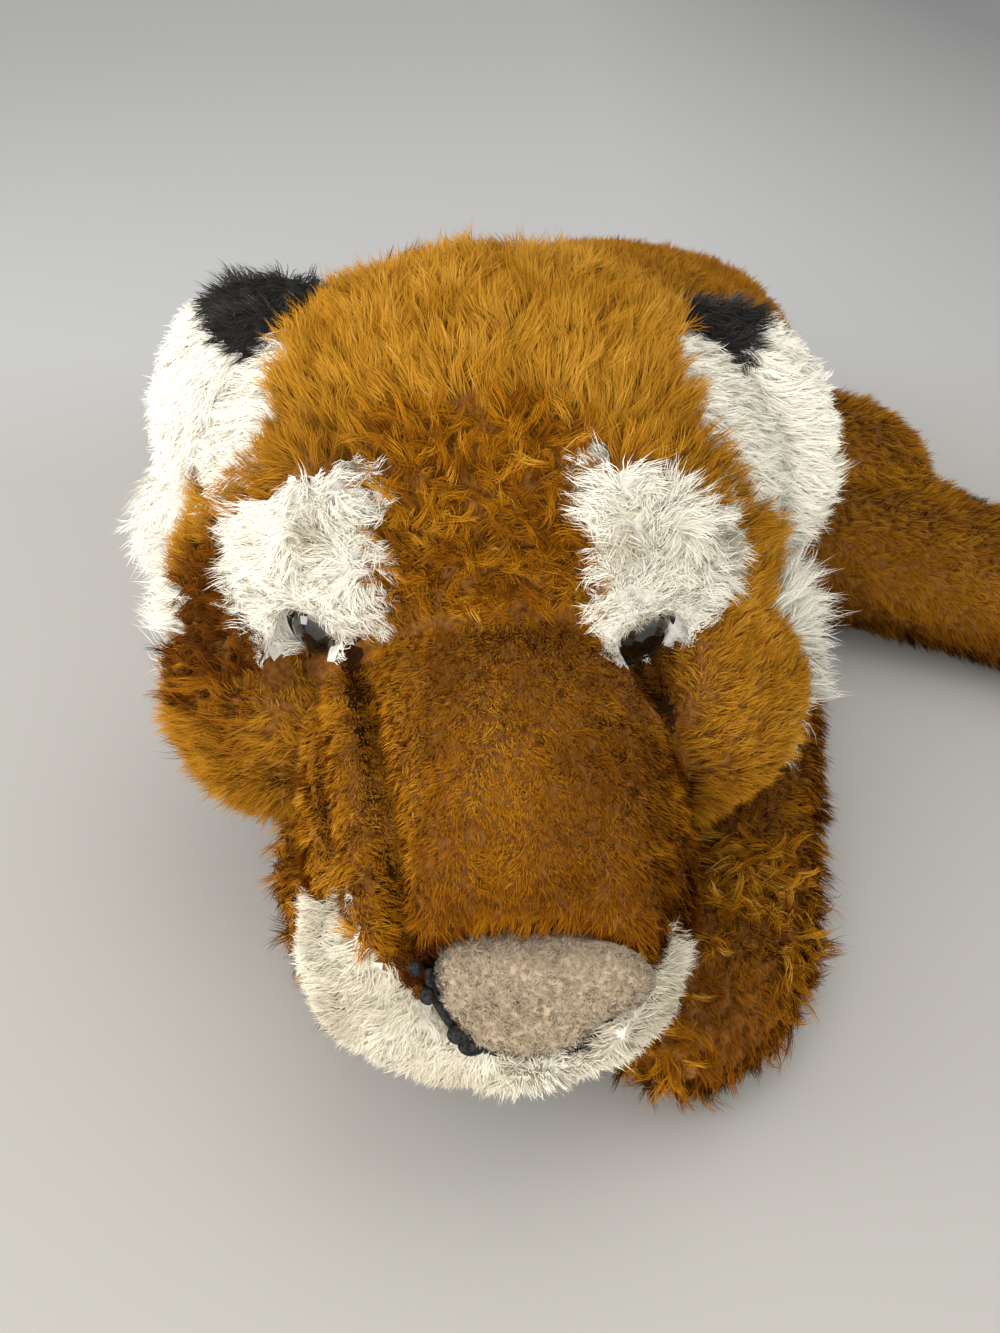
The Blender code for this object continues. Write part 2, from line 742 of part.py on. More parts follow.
def ear_frame(side):
    """The ear's own frame: X along its base, Y out of the skull, Z through its thickness to the back."""
    drop = EAR_LEFT_DROP if side > 0 else 0.0
    place = SKULL_CENTRE + Vector((side * EAR_SIDE, EAR_BACK, EAR_RISE - drop))
    lean = Matrix.Rotation(math.radians(-side * EAR_LEAN_DEG), 4, "Y")
    turn = Matrix.Rotation(math.radians(side * EAR_TURN_DEG), 4, "Z")
    upright = Matrix(((1, 0, 0), (0, 0, 1), (0, 1, 0))).to_4x4()
    return Matrix.Translation(place) @ turn @ lean.inverted() @ upright


def ear_hinge(side):
    """A point on the ear's base line and the line's direction, in the model's frame."""
    frame = HEAD_FRAME @ ear_frame(side)
    return frame.translation.copy(), (frame.to_3x3() @ Vector((1, 0, 0))).normalized()


# Making the pieces

def make_torso(roots):
    """The orange cover, the filling it holds and the pale belly panel that closes it below."""
    inside = helper("torso_inside", torso_form(-COVER_WALL, FILL_SIDES + 4, FILL_RINGS + 2))
    sockets = [helper(name + "_socket", root_form(*sizes, SEAM_GAP)) for name, *sizes in roots]
    lateral = (HEAD_FRAME.to_3x3() @ Vector((-1, 0, 0))).normalized()
    nape = []
    for k, angle in enumerate(sweep_angles(0.0, HEAD_LIFT_DEG)):
        lifted = rotation_about(NECK, lateral, angle) @ HEAD_FRAME
        nape.append(helper(f"nape_cutter_{k}", placed(skull_form(2 * SEAM_GAP + k * STAGGER), lifted)))
        for word, side in SIDES:
            ruff = placed(ruff_form(side, 2 * SEAM_GAP), lifted)
            nape.append(helper(f"ruff_cutter_{word}_{k}", ruff))
    cover = new_object("torso_cover", above(torso_form(), BELLY_PANEL_DEPTH + SEAM_GAP), "orange")
    carve(cover, [inside] + sockets + nape)
    core = torso_form(-COVER_WALL - FILLING_GAP, FILL_SIDES + 4, FILL_RINGS + 2)
    filling = new_object("torso_filling", above(core, BELLY_PANEL_DEPTH + 2 * SEAM_GAP), "filling")
    carve(filling, sockets + nape)
    panel = new_object("belly_panel", below(above(torso_form()), BELLY_PANEL_DEPTH), "white")
    carve(panel, sockets)


def make_head():
    """The skull's cover and its filling, with the neck opening between them and the torso."""
    half_facet = Matrix.Rotation(math.pi / SMALL_SIDES, 4, "Z")
    opening_frame = Matrix.Translation(SKULL_CENTRE) @ Matrix.Rotation(-math.pi / 2, 4, "X") @ half_facet
    mouth = helper("neck_mouth", placed(
        cylinder(NECK_OPENING / 2, 0.0, SKULL_LENGTH), HEAD_FRAME @ opening_frame))
    hollow = skull_form(-COVER_WALL, FILL_SIDES + 2, FILL_RINGS + 1)
    inside = helper("skull_inside", placed(hollow, HEAD_FRAME))
    pockets = [eye_pocket(side, f"eye_pocket_{word}") for word, side in SIDES]
    cover = new_object("head_cover", placed(skull_form(), HEAD_FRAME), "orange")
    carve(cover, [inside, mouth] + pockets)
    filling = new_object("head_filling", placed(
        skull_form(-COVER_WALL - FILLING_GAP, FILL_SIDES + 2, FILL_RINGS + 1), HEAD_FRAME), "filling")
    carve(filling, pockets)
    return pockets


def make_face(pockets):
    """Cheeks, ruffs, muzzle panels, whisker pads, chin and eye patches, each cut by what it is sewn to."""

    def cutter(name, form):
        return helper("cut_" + name, placed(form, HEAD_FRAME))

    skull = cutter("skull", skull_form(SEAM_GAP))
    nose = [nose_pocket()]
    top = cutter("muzzle_top", muzzle_top_form(SEAM_GAP))
    sides = {word: cutter("muzzle_side_" + word, muzzle_side_form(side, SEAM_GAP)) for word, side in SIDES}
    cheeks = {word: cutter("cheek_" + word, cheek_form(side, SEAM_GAP)) for word, side in SIDES}
    pads = {word: cutter("pad_" + word, pad_form(side, SEAM_GAP + side * STAGGER)) for word, side in SIDES}

    bridge = new_object("muzzle_bridge", placed(muzzle_top_form(), HEAD_FRAME), "orange")
    carve(bridge, [skull] + nose + pockets)
    for word, side in SIDES:
        panel = new_object("muzzle_side_" + word, placed(muzzle_side_form(side), HEAD_FRAME), "orange")
        carve(panel, [skull, top] + nose + pockets)
        cheek = new_object("cheek_" + word, placed(cheek_form(side), HEAD_FRAME), "orange")
        carve(cheek, [skull, top, sides[word]] + pockets)
        ruff = new_object("ruff_" + word, placed(ruff_form(side), HEAD_FRAME), "white")
        carve(ruff, [skull, cheeks[word]])
        half = cut_flat(pad_form(side), (MOUTH_OFFSET + side * SEAM_GAP, 0, 0), (-side, 0, 0))
        pad = new_object("whisker_pad_" + word, placed(half, HEAD_FRAME), "white")
        carve(pad, [top, cheeks[word], skull] + list(sides.values()) + nose)
        patch = new_object("eye_patch_" + word, placed(patch_form(side), HEAD_FRAME), "white")
        carve(patch, [skull, top, sides[word], cheeks[word]] + pockets)
    chin = new_object("chin", placed(chin_form(), HEAD_FRAME), "white")
    carve(chin, [skull, top] + list(sides.values()) + list(pads.values()) + list(cheeks.values()) + nose)


def make_nose_and_mouth():
    frame = HEAD_FRAME @ nose_frame()
    new_object("nose", placed(nose_form(), frame), "nose")
    new_object("mouth_thread", placed(mouth_form(), frame), "black")


def make_eyes():
    """Each eye is a dome on a ridged stem, through a felt pad and the cover, locked by a washer inside."""
    pitch = EYE_STEM_LENGTH / (EYE_RIDGES + 2)
    for word, side in SIDES:
        frame = HEAD_FRAME @ eye_frame(side)
        turns = [math.pi / 2 * k / EYE_DOME_RINGS for k in range(1, EYE_DOME_RINGS + 1)]
        dome = [(EYE_RADIUS * math.sin(turn), EYE_DOME * math.cos(turn)) for turn in turns]
        ridges = [
            (EYE_STEM_RADIUS + EYE_RIDGE * (k % 2), -pitch * (k + 1)) for k in range(1, EYE_RIDGES + 1)
        ]
        profile = [(0, EYE_DOME)] + dome + [(EYE_STEM_RADIUS, 0.0)] + ridges + [(0, -EYE_STEM_LENGTH)]
        new_object("eye_" + word, placed(turned(profile, SMALL_SIDES), frame), "eye")

        hole = helper("felt_hole_" + word, placed(
            cylinder(EYE_STEM_RADIUS + EYE_RIDGE + SEAM_GAP, -OVERRUN, OVERRUN), frame))
        felt = new_object("eye_felt_" + word, placed(
            cylinder(FELT_RADIUS, -FELT_THICKNESS, -SEAM_GAP), frame), "black")
        carve(felt, [hole])
        washer = new_object("eye_washer_" + word, placed(
            cylinder(WASHER_RADIUS, washer_top() - WASHER_THICKNESS, washer_top()), frame), "washer")
        carve(washer, [hole])


def make_ears():
    """A black back and a white lining, sewn to the skull along the base line that the ear folds about."""
    size = Vector((EAR_LENGTH, EAR_REACH, EAR_THICKNESS))
    lining_size = (EAR_LENGTH * LINING_SIZE_SHARE, EAR_REACH * LINING_SIZE_SHARE, LINING_THICKNESS)
    for word, side in SIDES:
        frame = HEAD_FRAME @ ear_frame(side)
        point, axis = ear_hinge(side)
        skulls = [
            helper(f"ear_base_{word}_{k}", placed(skull_form(SEAM_GAP),
                                                  rotation_about(point, axis, -angle) @ HEAD_FRAME))
            for k, angle in enumerate(sweep_angles(-EAR_FOLD_BACK_DEG, EAR_FOLD_FRONT_DEG))
        ]
        form = placed(ellipsoid(size, BALL_SIDES, PANEL_RINGS), frame)
        carve(new_object("ear_back_" + word, form, "black"), skulls)
        grown = placed(ellipsoid(size, BALL_SIDES, PANEL_RINGS, SEAM_GAP), frame)
        front = frame @ Matrix.Translation((0, 0, -LINING_OFFSET))
        lining = placed(ellipsoid(lining_size, PANEL_SIDES, PANEL_RINGS), front)
        cutters = [helper("ear_back_cut_" + word, grown)] + skulls
        carve(new_object("ear_lining_" + word, lining, "white"), cutters)


def limb_spine(root, turn, foot_turn, length, width, heights):
    """A level spine to a paw that rests on the floor: it starts behind the root, and bends steadily."""
    count = len(heights)
    points = [root - heading(turn) * width * LEG_TUCK_SHARE]
    step = (length + width * LEG_TUCK_SHARE) / (count - 1)
    for k in range(1, count):
        points.append(points[-1] + heading(turn + foot_turn * (k - 0.5) / (count - 1)) * step)
    for point, height in zip(points, heights):
        point.z = height / 2 - FLOOR_SINK
    return points


def make_leg(name, root_sizes, turns, length, size, shares, swing, under_head):
    """A stuffed leg: a spheroid that seats in the torso's socket, and the limb that swells out of it.

    Its cover is hollow for the filling, which went in through a channel in the root, and it
    gives way to the torso, and under the head to what rests on it, through its whole swing. The
    far end of the swing is cut first, which leaves the later cuts less to do.
    """
    root, radius, _ = root_sizes
    widths = [size[0] * share for share in shares[0]]
    heights = [size[1] * share for share in shares[1]]
    spine = limb_spine(root, *turns, length, size[0], heights)

    def kept_off(depth, grow, rest_grow):
        swept = []
        for k, angle in enumerate(reversed(sweep_angles(*swing))):
            turn = rotation_about(root, "Z", -angle)
            swept.append(helper(f"{name}_{depth}_torso_{k}", placed(torso_form(grow + k * STAGGER), turn)))
            for word, side in SIDES if under_head else ():
                for kind, form in (("cheek", cheek_form), ("muzzle", muzzle_side_form)):
                    bm = placed(form(side, rest_grow + k * STAGGER), turn @ HEAD_FRAME)
                    swept.append(helper(f"{name}_{depth}_{kind}_{word}_{k}", bm))
        return swept

    def inner(grow):
        span = (LEG_FILLING_START_SHARE, LEG_FILLING_END_SHARE)
        return stuffed_form(
            spine, widths, heights, LEG_FILL_SIDES, LEG_FILL_RINGS, LEG_FULLNESS, LEG_SECTION, grow, span
        )

    outward = (spine[1] - spine[0]).normalized()
    channel = helper(name + "_channel", placed(
        cylinder(LEG_CHANNEL_RADIUS, -radius - OVERRUN, length * LEG_FILLING_START_SHARE + OVERRUN),
        Matrix.Translation(root) @ outward.to_track_quat("Z", "Y").to_matrix().to_4x4()))
    ball = helper(name + "_ball", root_form(*root_sizes))
    hollow = helper(name + "_hollow", inner(-COVER_WALL))
    carve(hollow, kept_off("hollow", COVER_WALL, COVER_WALL + CHEEK_REST_GAP))

    form = stuffed_form(spine, widths, heights, LIMB_SIDES, LIMB_RINGS, LEG_FULLNESS, LEG_SECTION)
    limb = new_object(name, above(form), "orange")
    carve(limb, kept_off("cover", SEAM_GAP, CHEEK_REST_GAP))
    carve(limb, [ball], "UNION")
    carve(limb, [hollow, channel])
    filling = new_object(name + "_filling", inner(-COVER_WALL - FILLING_GAP), "filling")
    wall = COVER_WALL + FILLING_GAP
    carve(filling, kept_off("filling", wall, wall + CHEEK_REST_GAP))


def make_tail(root_sizes):
    """Orange and black bands, each a slice of one even tube, from a root in the rump to a round tip."""
    root = root_sizes[0]
    route = [root + Vector((x, y, 0)) * TAIL_STRETCH for x, y, _ in TAIL_ROUTE_SHARES]
    widths = [TAIL_WIDTH * share for share in TAIL_WIDTH_SHARES]
    rest = TAIL_WIDTH / 2 - FLOOR_SINK
    for point, (_, _, lift) in zip(route, TAIL_ROUTE_SHARES):
        point.z = rest + (root.z - rest) * lift
    torsos = [
        helper(f"tail_torso_{k}", placed(torso_form(SEAM_GAP), rotation_about(root, "Z", -angle)))
        for k, angle in enumerate(sweep_angles(-TAIL_SWING_LEFT_DEG, TAIL_SWING_RIGHT_DEG))
    ]
    length = sum((b - a).length for a, b in zip(route, route[1:]))
    gap_share = SEAM_GAP / 2 / length
    last = len(TAIL_BAND_SHARES) - 2
    for k, (start, end) in enumerate(zip(TAIL_BAND_SHARES, TAIL_BAND_SHARES[1:])):
        span = (start + gap_share * (k > 0), end - gap_share * (k < last))
        rings = TAIL_BAND_RINGS if k < last else TAIL_TIP_RINGS
        form = stuffed_form(route, widths, widths, TAIL_SIDES, rings, TAIL_FULLNESS, ROUND, 0.0, span)
        band = new_object(f"tail_band_{k + 1}", above(form), "black" if k % 2 else "orange")
        if k == 0:
            carve(band, torsos)
            carve(band, [helper("tail_ball", root_form(*root_sizes))], "UNION")


SIDES = (("left", 1), ("right", -1))


def build():
    for obj in list(bpy.data.objects):
        bpy.data.objects.remove(obj)

    bend = TORSO_BEND * HIP_BEND_SHARE
    roots = {
        "foreleg_left": Vector((FORELEG_LEFT_SIDE, -FORELEG_LEFT_FORWARD, FORELEG_ROOT)),
        "foreleg_right": Vector((-FORELEG_RIGHT_SIDE, -FORELEG_RIGHT_FORWARD, FORELEG_ROOT)),
        "hindleg_left": Vector((bend + HINDLEG_SIDE, HINDLEG_BACKWARD, HINDLEG_ROOT)),
        "hindleg_right": Vector((bend - HINDLEG_SIDE, HINDLEG_BACKWARD, HINDLEG_ROOT)),
    }
    tail_place = Vector((TORSO_BEND, TORSO_LENGTH - TORSO_FRONT - TAIL_INSET, TAIL_HEIGHT))
    tail_root = (tail_place, TAIL_ROOT_RADIUS, TAIL_ROOT)
    for name, place in roots.items():
        is_fore = name.startswith("fore")
        half_height = FORELEG_ROOT if is_fore else HINDLEG_ROOT
        roots[name] = (place, SHOULDER_RADIUS if is_fore else HAUNCH_RADIUS, half_height)
    make_torso([(name, *sizes) for name, sizes in roots.items()] + [("tail", *tail_root)])
    make_face(make_head())
    make_nose_and_mouth()
    make_eyes()
    make_ears()

    turns = {
        "foreleg_left": (FORELEG_LEFT_TURN_DEG, FORELEG_LEFT_PAW_TURN_DEG),
        "foreleg_right": (FORELEG_RIGHT_TURN_DEG, FORELEG_RIGHT_PAW_TURN_DEG),
        "hindleg_left": (HINDLEG_LEFT_TURN_DEG, HINDLEG_LEFT_FOOT_TURN_DEG),
        "hindleg_right": (HINDLEG_RIGHT_TURN_DEG, HINDLEG_RIGHT_FOOT_TURN_DEG),
    }
    heights = {
        "foreleg_left": FORELEG_LEFT_HEIGHT_SHARES,
        "foreleg_right": FORELEG_RIGHT_HEIGHT_SHARES,
        "hindleg_left": HINDLEG_HEIGHT_SHARES,
        "hindleg_right": HINDLEG_HEIGHT_SHARES,
    }
    swings = {
        "foreleg_left": (0.0, FORELEG_LEFT_SPLAY_DEG),
        "foreleg_right": (-FORELEG_RIGHT_SPLAY_DEG, 0.0),
        "hindleg_left": (-HINDLEG_LEFT_FORWARD_DEG, HINDLEG_LEFT_BACK_DEG),
        "hindleg_right": (0.0, HINDLEG_RIGHT_FORWARD_DEG),
    }
    for name, root_sizes in roots.items():
        under_head = name.startswith("fore")
        if under_head:
            length, size, widths = FORELEG_LENGTH, (FORELEG_WIDTH, FORELEG_HEIGHT), FORELEG_WIDTH_SHARES
        else:
            length, size, widths = HINDLEG_LENGTH, (HINDLEG_WIDTH, HINDLEG_HEIGHT), HINDLEG_WIDTH_SHARES
        shares = (widths, heights[name])
        make_leg(name, root_sizes, turns[name], length, size, shares, swings[name], under_head)
    make_tail(tail_root)


build()
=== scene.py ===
import math

import bmesh
import bpy
import numpy as np
from mathutils import Matrix, Vector
from mathutils.bvhtree import BVHTree


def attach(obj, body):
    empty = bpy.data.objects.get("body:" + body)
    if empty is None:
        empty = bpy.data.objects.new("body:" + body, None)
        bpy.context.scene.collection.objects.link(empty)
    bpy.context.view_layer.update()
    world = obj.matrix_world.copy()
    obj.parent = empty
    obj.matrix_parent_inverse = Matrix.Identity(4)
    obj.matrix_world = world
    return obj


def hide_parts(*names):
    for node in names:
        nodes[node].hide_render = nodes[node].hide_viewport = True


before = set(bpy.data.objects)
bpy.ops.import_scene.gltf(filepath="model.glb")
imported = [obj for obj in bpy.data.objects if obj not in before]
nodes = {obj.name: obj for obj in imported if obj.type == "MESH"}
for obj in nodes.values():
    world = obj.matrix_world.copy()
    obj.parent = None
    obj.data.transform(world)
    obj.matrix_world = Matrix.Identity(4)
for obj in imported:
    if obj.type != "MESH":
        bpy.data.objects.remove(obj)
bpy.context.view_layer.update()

sides = {"left": 1, "right": -1}


# Stage: floor, light and camera

camera = {  # the focal length and the frame's height are in the photograph's pixels
    "place": (0.1437, -0.5226, 0.3274), "turn": 20.0, "down": 35.0, "focal": 1207.0, "frameHeight": 1333,
    "sensor": 36.0, "nearest": 0.01,
}
stage = {
    # the backdrop darkens from its own colour to the far side's: painted shade
    "floor": (0.358, 0.350, 0.336), "backdrop": (0.398, 0.401, 0.408), "shadedFarSide": (0.230, 0.230, 0.237),
    "reach": 6.0, "sweepStart": 0.12, "sweepEnd": 0.34, "sideShadeStart": 0.1, "sideShadeEnd": 0.9,
    "world": (1.0, 0.985, 0.95), "worldStrength": 0.99,
}
lamps = (  # name, place, aim, size, watts, colour
    ("windowLight", (-0.75, -1.15, 1.25), (0.0, -0.2, 0.05), 1.3, 8.0, (1.0, 0.98, 0.94)),
    ("frontFill", (0.30, -1.35, 0.30), (0.03, -0.25, 0.06), 0.9, 17.0, (1.0, 0.98, 0.94)),
    ("leftFill", (-1.25, -0.75, 0.35), (0.0, -0.25, 0.04), 0.9, 11.0, (1.0, 0.98, 0.95)),
    ("ceilingLight", (0.2, 0.3, 1.6), (0.0, -0.1, 0.05), 1.8, 8.0, (1.0, 0.98, 0.95)),
)


def makeCamera():
    turn, down = math.radians(camera["turn"]), math.radians(camera["down"])
    back = Vector((math.sin(turn) * math.cos(down), -math.cos(turn) * math.cos(down), math.sin(down)))
    right = Vector((math.cos(turn), math.sin(turn), 0))
    data = bpy.data.cameras.new("photoCamera")
    data.sensor_fit = "VERTICAL"
    data.sensor_height = camera["sensor"]
    data.lens = camera["focal"] * camera["sensor"] / camera["frameHeight"]
    data.clip_start = camera["nearest"]
    obj = placeObject("photoCamera", data)
    axes = Matrix((right, back.cross(right), back)).transposed().to_4x4()
    obj.matrix_world = Matrix.Translation(camera["place"]) @ axes
    bpy.context.scene.camera = obj


def makeFloor():
    bm = bmesh.new()
    bmesh.ops.create_grid(bm, x_segments=1, y_segments=1, size=stage["reach"])
    floor = meshObject("floor", bm)
    mat, tree, shader = plainMaterial("floorPaper", stage["floor"], 0.9)
    place = addNode(tree, "NewGeometry").outputs["Position"]
    turn = math.radians(camera["turn"])

    def shareAlong(direction, start, end):  # 0 before start, 1 after end, along a level direction
        along = addNode(tree, "VectorMath", {0: place, 1: (*direction, 0)}, "DOT_PRODUCT").outputs["Value"]
        share = addNode(tree, "MapRange", {"From Min": start, "From Max": end, "Value": along})
        return share.outputs["Result"]

    # the backdrop fades into painted shade towards the far side
    sideShade = shareAlong((math.cos(turn), math.sin(turn)), stage["sideShadeStart"], stage["sideShadeEnd"])
    sweep = shareAlong((-math.sin(turn), math.cos(turn)), stage["sweepStart"], stage["sweepEnd"])
    sideways = mixNode(tree, "MIX", stage["backdrop"], stage["shadedFarSide"], sideShade)
    tree.links.new(mixNode(tree, "MIX", stage["floor"], sideways, sweep), shader.inputs["Base Color"])
    floor.data.materials.append(mat)


def makeLight():
    world = bpy.data.worlds.new("studio")
    bpy.context.scene.world = world
    world.use_nodes = True
    shade = world.node_tree.nodes["Background"]
    shade.inputs["Color"].default_value = (*stage["world"], 1)
    shade.inputs["Strength"].default_value = stage["worldStrength"]
    for name, place, aim, size, watts, colour in lamps:
        data = bpy.data.lights.new(name, "AREA")
        data.shape = "DISK"
        data.size, data.energy, data.color = size, watts, colour
        lamp = placeObject(name, data)
        lamp.location = place
        lamp.rotation_euler = (Vector(aim) - Vector(place)).to_track_quat("-Z", "Y").to_euler()
    bpy.context.scene.view_settings.view_transform = "Standard"


# Small tools

def placeObject(name, data):
    obj = bpy.data.objects.new(name, data)
    bpy.context.scene.collection.objects.link(obj)
    return obj


def meshObject(name, bm):
    mesh = bpy.data.meshes.new(name)
    bm.to_mesh(mesh)
    bm.free()
    mesh.shade_smooth()
    return placeObject(name, mesh)


def addBall(bm, place, centre, half, around, up):  # an ellipsoid in the frame given as place
    made = bmesh.ops.create_uvsphere(bm, u_segments=around, v_segments=up, radius=1.0)["verts"]
    fit = place @ Matrix.Translation(centre) @ Matrix.Diagonal((*half, 1))
    bmesh.ops.transform(bm, matrix=fit, verts=made)


def noiseAt(points, size, seed):  # smooth value noise, 0 to 1, at each point
    cells, shift = 24, 1000.0  # the shift keeps every place positive
    lattice = np.random.default_rng(seed).random((cells, cells, cells))
    place = points / size + shift
    base = np.floor(place).astype(int)
    part = place - base
    part = part * part * (3 - 2 * part)
    total = np.zeros(len(points))
    for step in np.ndindex(2, 2, 2):
        weight = np.where(step, part, 1 - part).prod(axis=1)
        total += weight * lattice[tuple(((base + step) % cells).T)]
    return total


def driftAt(points, size, seed):  # a smooth random vector at each point, -1 to 1
    return np.stack([noiseAt(points, size, seed + k) for k in range(3)], 1) * 2 - 1


def unit(vectors):
    return vectors / np.maximum(np.linalg.norm(vectors, axis=-1, keepdims=True), 1e-9)


def ramped(values, low, high):  # 0 below low, 1 above high, smooth between
    share = np.clip((values - low) / (high - low), 0, 1)
    return share * share * (3 - 2 * share)


def vectorsOf(*parts):  # one vector for each point, from numbers and arrays of them
    return np.stack(np.broadcast_arrays(*parts), 1)


def nearness(points, centre, half):  # 1 at the centre of an ellipsoid, falling off beyond its half sizes
    return np.exp(-np.sum(((points - centre) / half) ** 2, axis=1))


def numbers(collection, key, width):  # one attribute of a mesh's elements, as an array
    out = np.empty(len(collection) * width)
    collection.foreach_get(key, out)
    return out.reshape(-1, width) if width > 1 else out


def lineGap(points, line):  # distance to a polyline, the share along it and its direction there
    best = np.full(len(points), 1e9)
    along = np.zeros(len(points))
    ahead = np.zeros((len(points), 3))
    line = np.array(line, float)
    for k, (start, end) in enumerate(zip(line, line[1:])):
        step = end - start
        t = np.clip((points - start) @ step / (step @ step), 0, 1)
        gap = np.linalg.norm(points - (start + t[:, None] * step), axis=1)
        closer = gap < best
        best[closer], along[closer] = gap[closer], (k + t[closer]) / (len(line) - 1)
        ahead[closer] = step / np.linalg.norm(step)
    return best, along, ahead


# Materials

def plainMaterial(name, colour, roughness, sheen=0.0):
    mat = bpy.data.materials.new(name)
    mat.use_nodes = True
    shader = mat.node_tree.nodes["Principled BSDF"]
    shader.inputs["Base Color"].default_value = (*colour, 1)
    shader.inputs["Roughness"].default_value = roughness
    shader.inputs["Sheen Weight"].default_value = sheen
    shader.inputs["Specular IOR Level"].default_value = 0.05
    return mat, mat.node_tree, shader


def addNode(tree, kind, inputs=None, operation=None):  # inputs: numbers, or the sockets that feed them
    node = tree.nodes.new("ShaderNode" + kind)
    if operation:
        node.operation = operation
    for key, value in (inputs or {}).items():
        if isinstance(value, bpy.types.NodeSocket):
            tree.links.new(value, node.inputs[key])
        else:
            node.inputs[key].default_value = value
    return node


def mixNode(tree, blend, first, second, factor=None):
    mix = tree.nodes.new("ShaderNodeMix")
    mix.data_type, mix.blend_type = "RGBA", blend
    mix.inputs["Factor"].default_value = 1.0
    for key, value in (("A", first), ("B", second)):
        if isinstance(value, tuple):
            mix.inputs[key].default_value = (*value, 1)
        else:
            tree.links.new(value, mix.inputs[key])
    if factor is not None:
        tree.links.new(factor, mix.inputs["Factor"])
    return mix.outputs["Result"]


def rampNode(tree, stops, factor):
    node = addNode(tree, "ValToRGB", {"Fac": factor})
    while len(node.color_ramp.elements) > 1:
        node.color_ramp.elements.remove(node.color_ramp.elements[-1])
    for k, (place, colour) in enumerate(stops):
        stop = node.color_ramp.elements[0] if k == 0 else node.color_ramp.elements.new(place)
        stop.position = place
        stop.color = (*colour, 1)
    return node.outputs["Color"]


def mottled(name, stops, size, roughness, bump=0.0):  # a noise-coloured surface
    mat, tree, shader = plainMaterial(name, stops[0][1], roughness)
    place = addNode(tree, "TexCoord").outputs["Object"]
    noise = addNode(tree, "TexNoise", {"Scale": 1 / size, "Detail": 3.0, "Vector": place}).outputs["Fac"]
    tree.links.new(rampNode(tree, stops, noise), shader.inputs["Base Color"])
    if bump:
        relief = addNode(tree, "Bump", {"Distance": bump, "Height": noise})
        tree.links.new(relief.outputs["Normal"], shader.inputs["Normal"])
    return mat


def pileMaterial(name, ramp, rootShade, roughness, sheen):
    # each strand's map runs across the tones and, upwards, from its root to its tip
    mat, tree, shader = plainMaterial(name, ramp[0][1], roughness, sheen)
    place = addNode(tree, "UVMap")
    place.uv_map = "OFBake"
    split = addNode(tree, "SeparateXYZ", {"Vector": place.outputs["UV"]})
    across = rampNode(tree, ramp, split.outputs["X"])
    along = rampNode(tree, rootShade, split.outputs["Y"])
    tree.links.new(mixNode(tree, "MULTIPLY", across, along), shader.inputs["Base Color"])
    return mat


tones = {  # darkest to lightest strand, with each tone's place
    "orange": [(0, (0.036, 0.010, 0.0006)), (0.35, (0.19, 0.066, 0.0030)), (0.65, (0.42, 0.188, 0.012)),
               (1, (0.74, 0.43, 0.080))],
    "russet": [(0, (0.034, 0.008, 0.0004)), (0.35, (0.18, 0.056, 0.0012)), (0.65, (0.39, 0.155, 0.0045)),
               (1, (0.74, 0.41, 0.060))],
    "dull": [(0, (0.036, 0.010, 0.0006)), (0.35, (0.15, 0.050, 0.0014)), (0.65, (0.33, 0.138, 0.0060)),
             (1, (0.58, 0.32, 0.052))],
    "white": [(0, (0.30, 0.26, 0.19)), (0.35, (0.55, 0.50, 0.39)), (0.65, (0.74, 0.71, 0.61)),
              (1, (0.86, 0.84, 0.76))],
    "black": [(0, (0.006, 0.006, 0.006)), (0.6, (0.018, 0.017, 0.017)), (1, (0.05, 0.047, 0.044))],
    "nose": [(0, (0.14, 0.10, 0.065)), (0.5, (0.275, 0.220, 0.145)), (1, (0.45, 0.375, 0.275))],
}
deepRootShade = [(0, (0.40, 0.34, 0.28)), (0.45, (0.84, 0.82, 0.78)), (1, (1.0, 1.0, 1.0))]  # painted shade deep in the pile: darkest at the root, full colour at the tip
paleRootShade = [(0, (0.85, 0.84, 0.82)), (0.45, (0.97, 0.97, 0.96)), (1, (1.0, 1.0, 1.0))]
piles = {
    family: pileMaterial(name, tones[family], shade, roughness, sheen)
    for family, name, shade, roughness, sheen in (
        ("orange", "orange_pile", deepRootShade, 0.85, 0.0), ("russet", "russet_pile", deepRootShade, 0.85, 0.0),
        ("dull", "dull_pile", deepRootShade, 0.85, 0.0), ("white", "white_pile", paleRootShade, 0.8, 0.0),
        ("black", "black_pile", deepRootShade, 0.6, 0.1), ("nose", "nose_fleece", paleRootShade, 0.85, 0.3),
    )
}
knits = {  # dark and light tone of the knit that the pile is woven into, set darker than the pile as painted shade at its roots, its grain and its relief
    "orange": ((0.10, 0.036, 0.007), (0.21, 0.085, 0.018), 0.002, 0.0),
    "white": ((0.48, 0.46, 0.42), (0.66, 0.64, 0.60), 0.002, 0.0),
    "black": ((0.010, 0.010, 0.010), (0.022, 0.021, 0.02), 0.002, 0.0),
    "nose": ((0.30, 0.22, 0.15), (0.40, 0.31, 0.22), 0.0016, 0.0006),
    # painted shade: the near-black knit laid along the creases
    "crease": ((0.016, 0.006, 0.002), (0.034, 0.014, 0.004), 0.002, 0.0),
}
backings = {
    family: mottled(family + "_backing", [(0.3, dark), (0.7, light)], grain, 0.9, relief)
    for family, (dark, light, grain, relief) in knits.items()
}


# Skins: the sewn fabric under the pile, one closed form on each body

blackBands = ("tail_band_2", "tail_band_4", "tail_band_6", "tail_band_8")
sewing = {"soften": 0.5, "puffSize": 0.03, "creaseReach": 1.3}


def familyOf(node):
    if node.startswith(("ruff", "whisker", "chin", "eye_patch", "ear_lining", "belly")):
        return "white"
    if node.startswith("ear_back") or node in blackBands:
        return "black"
    return "nose" if node == "nose" else "orange"


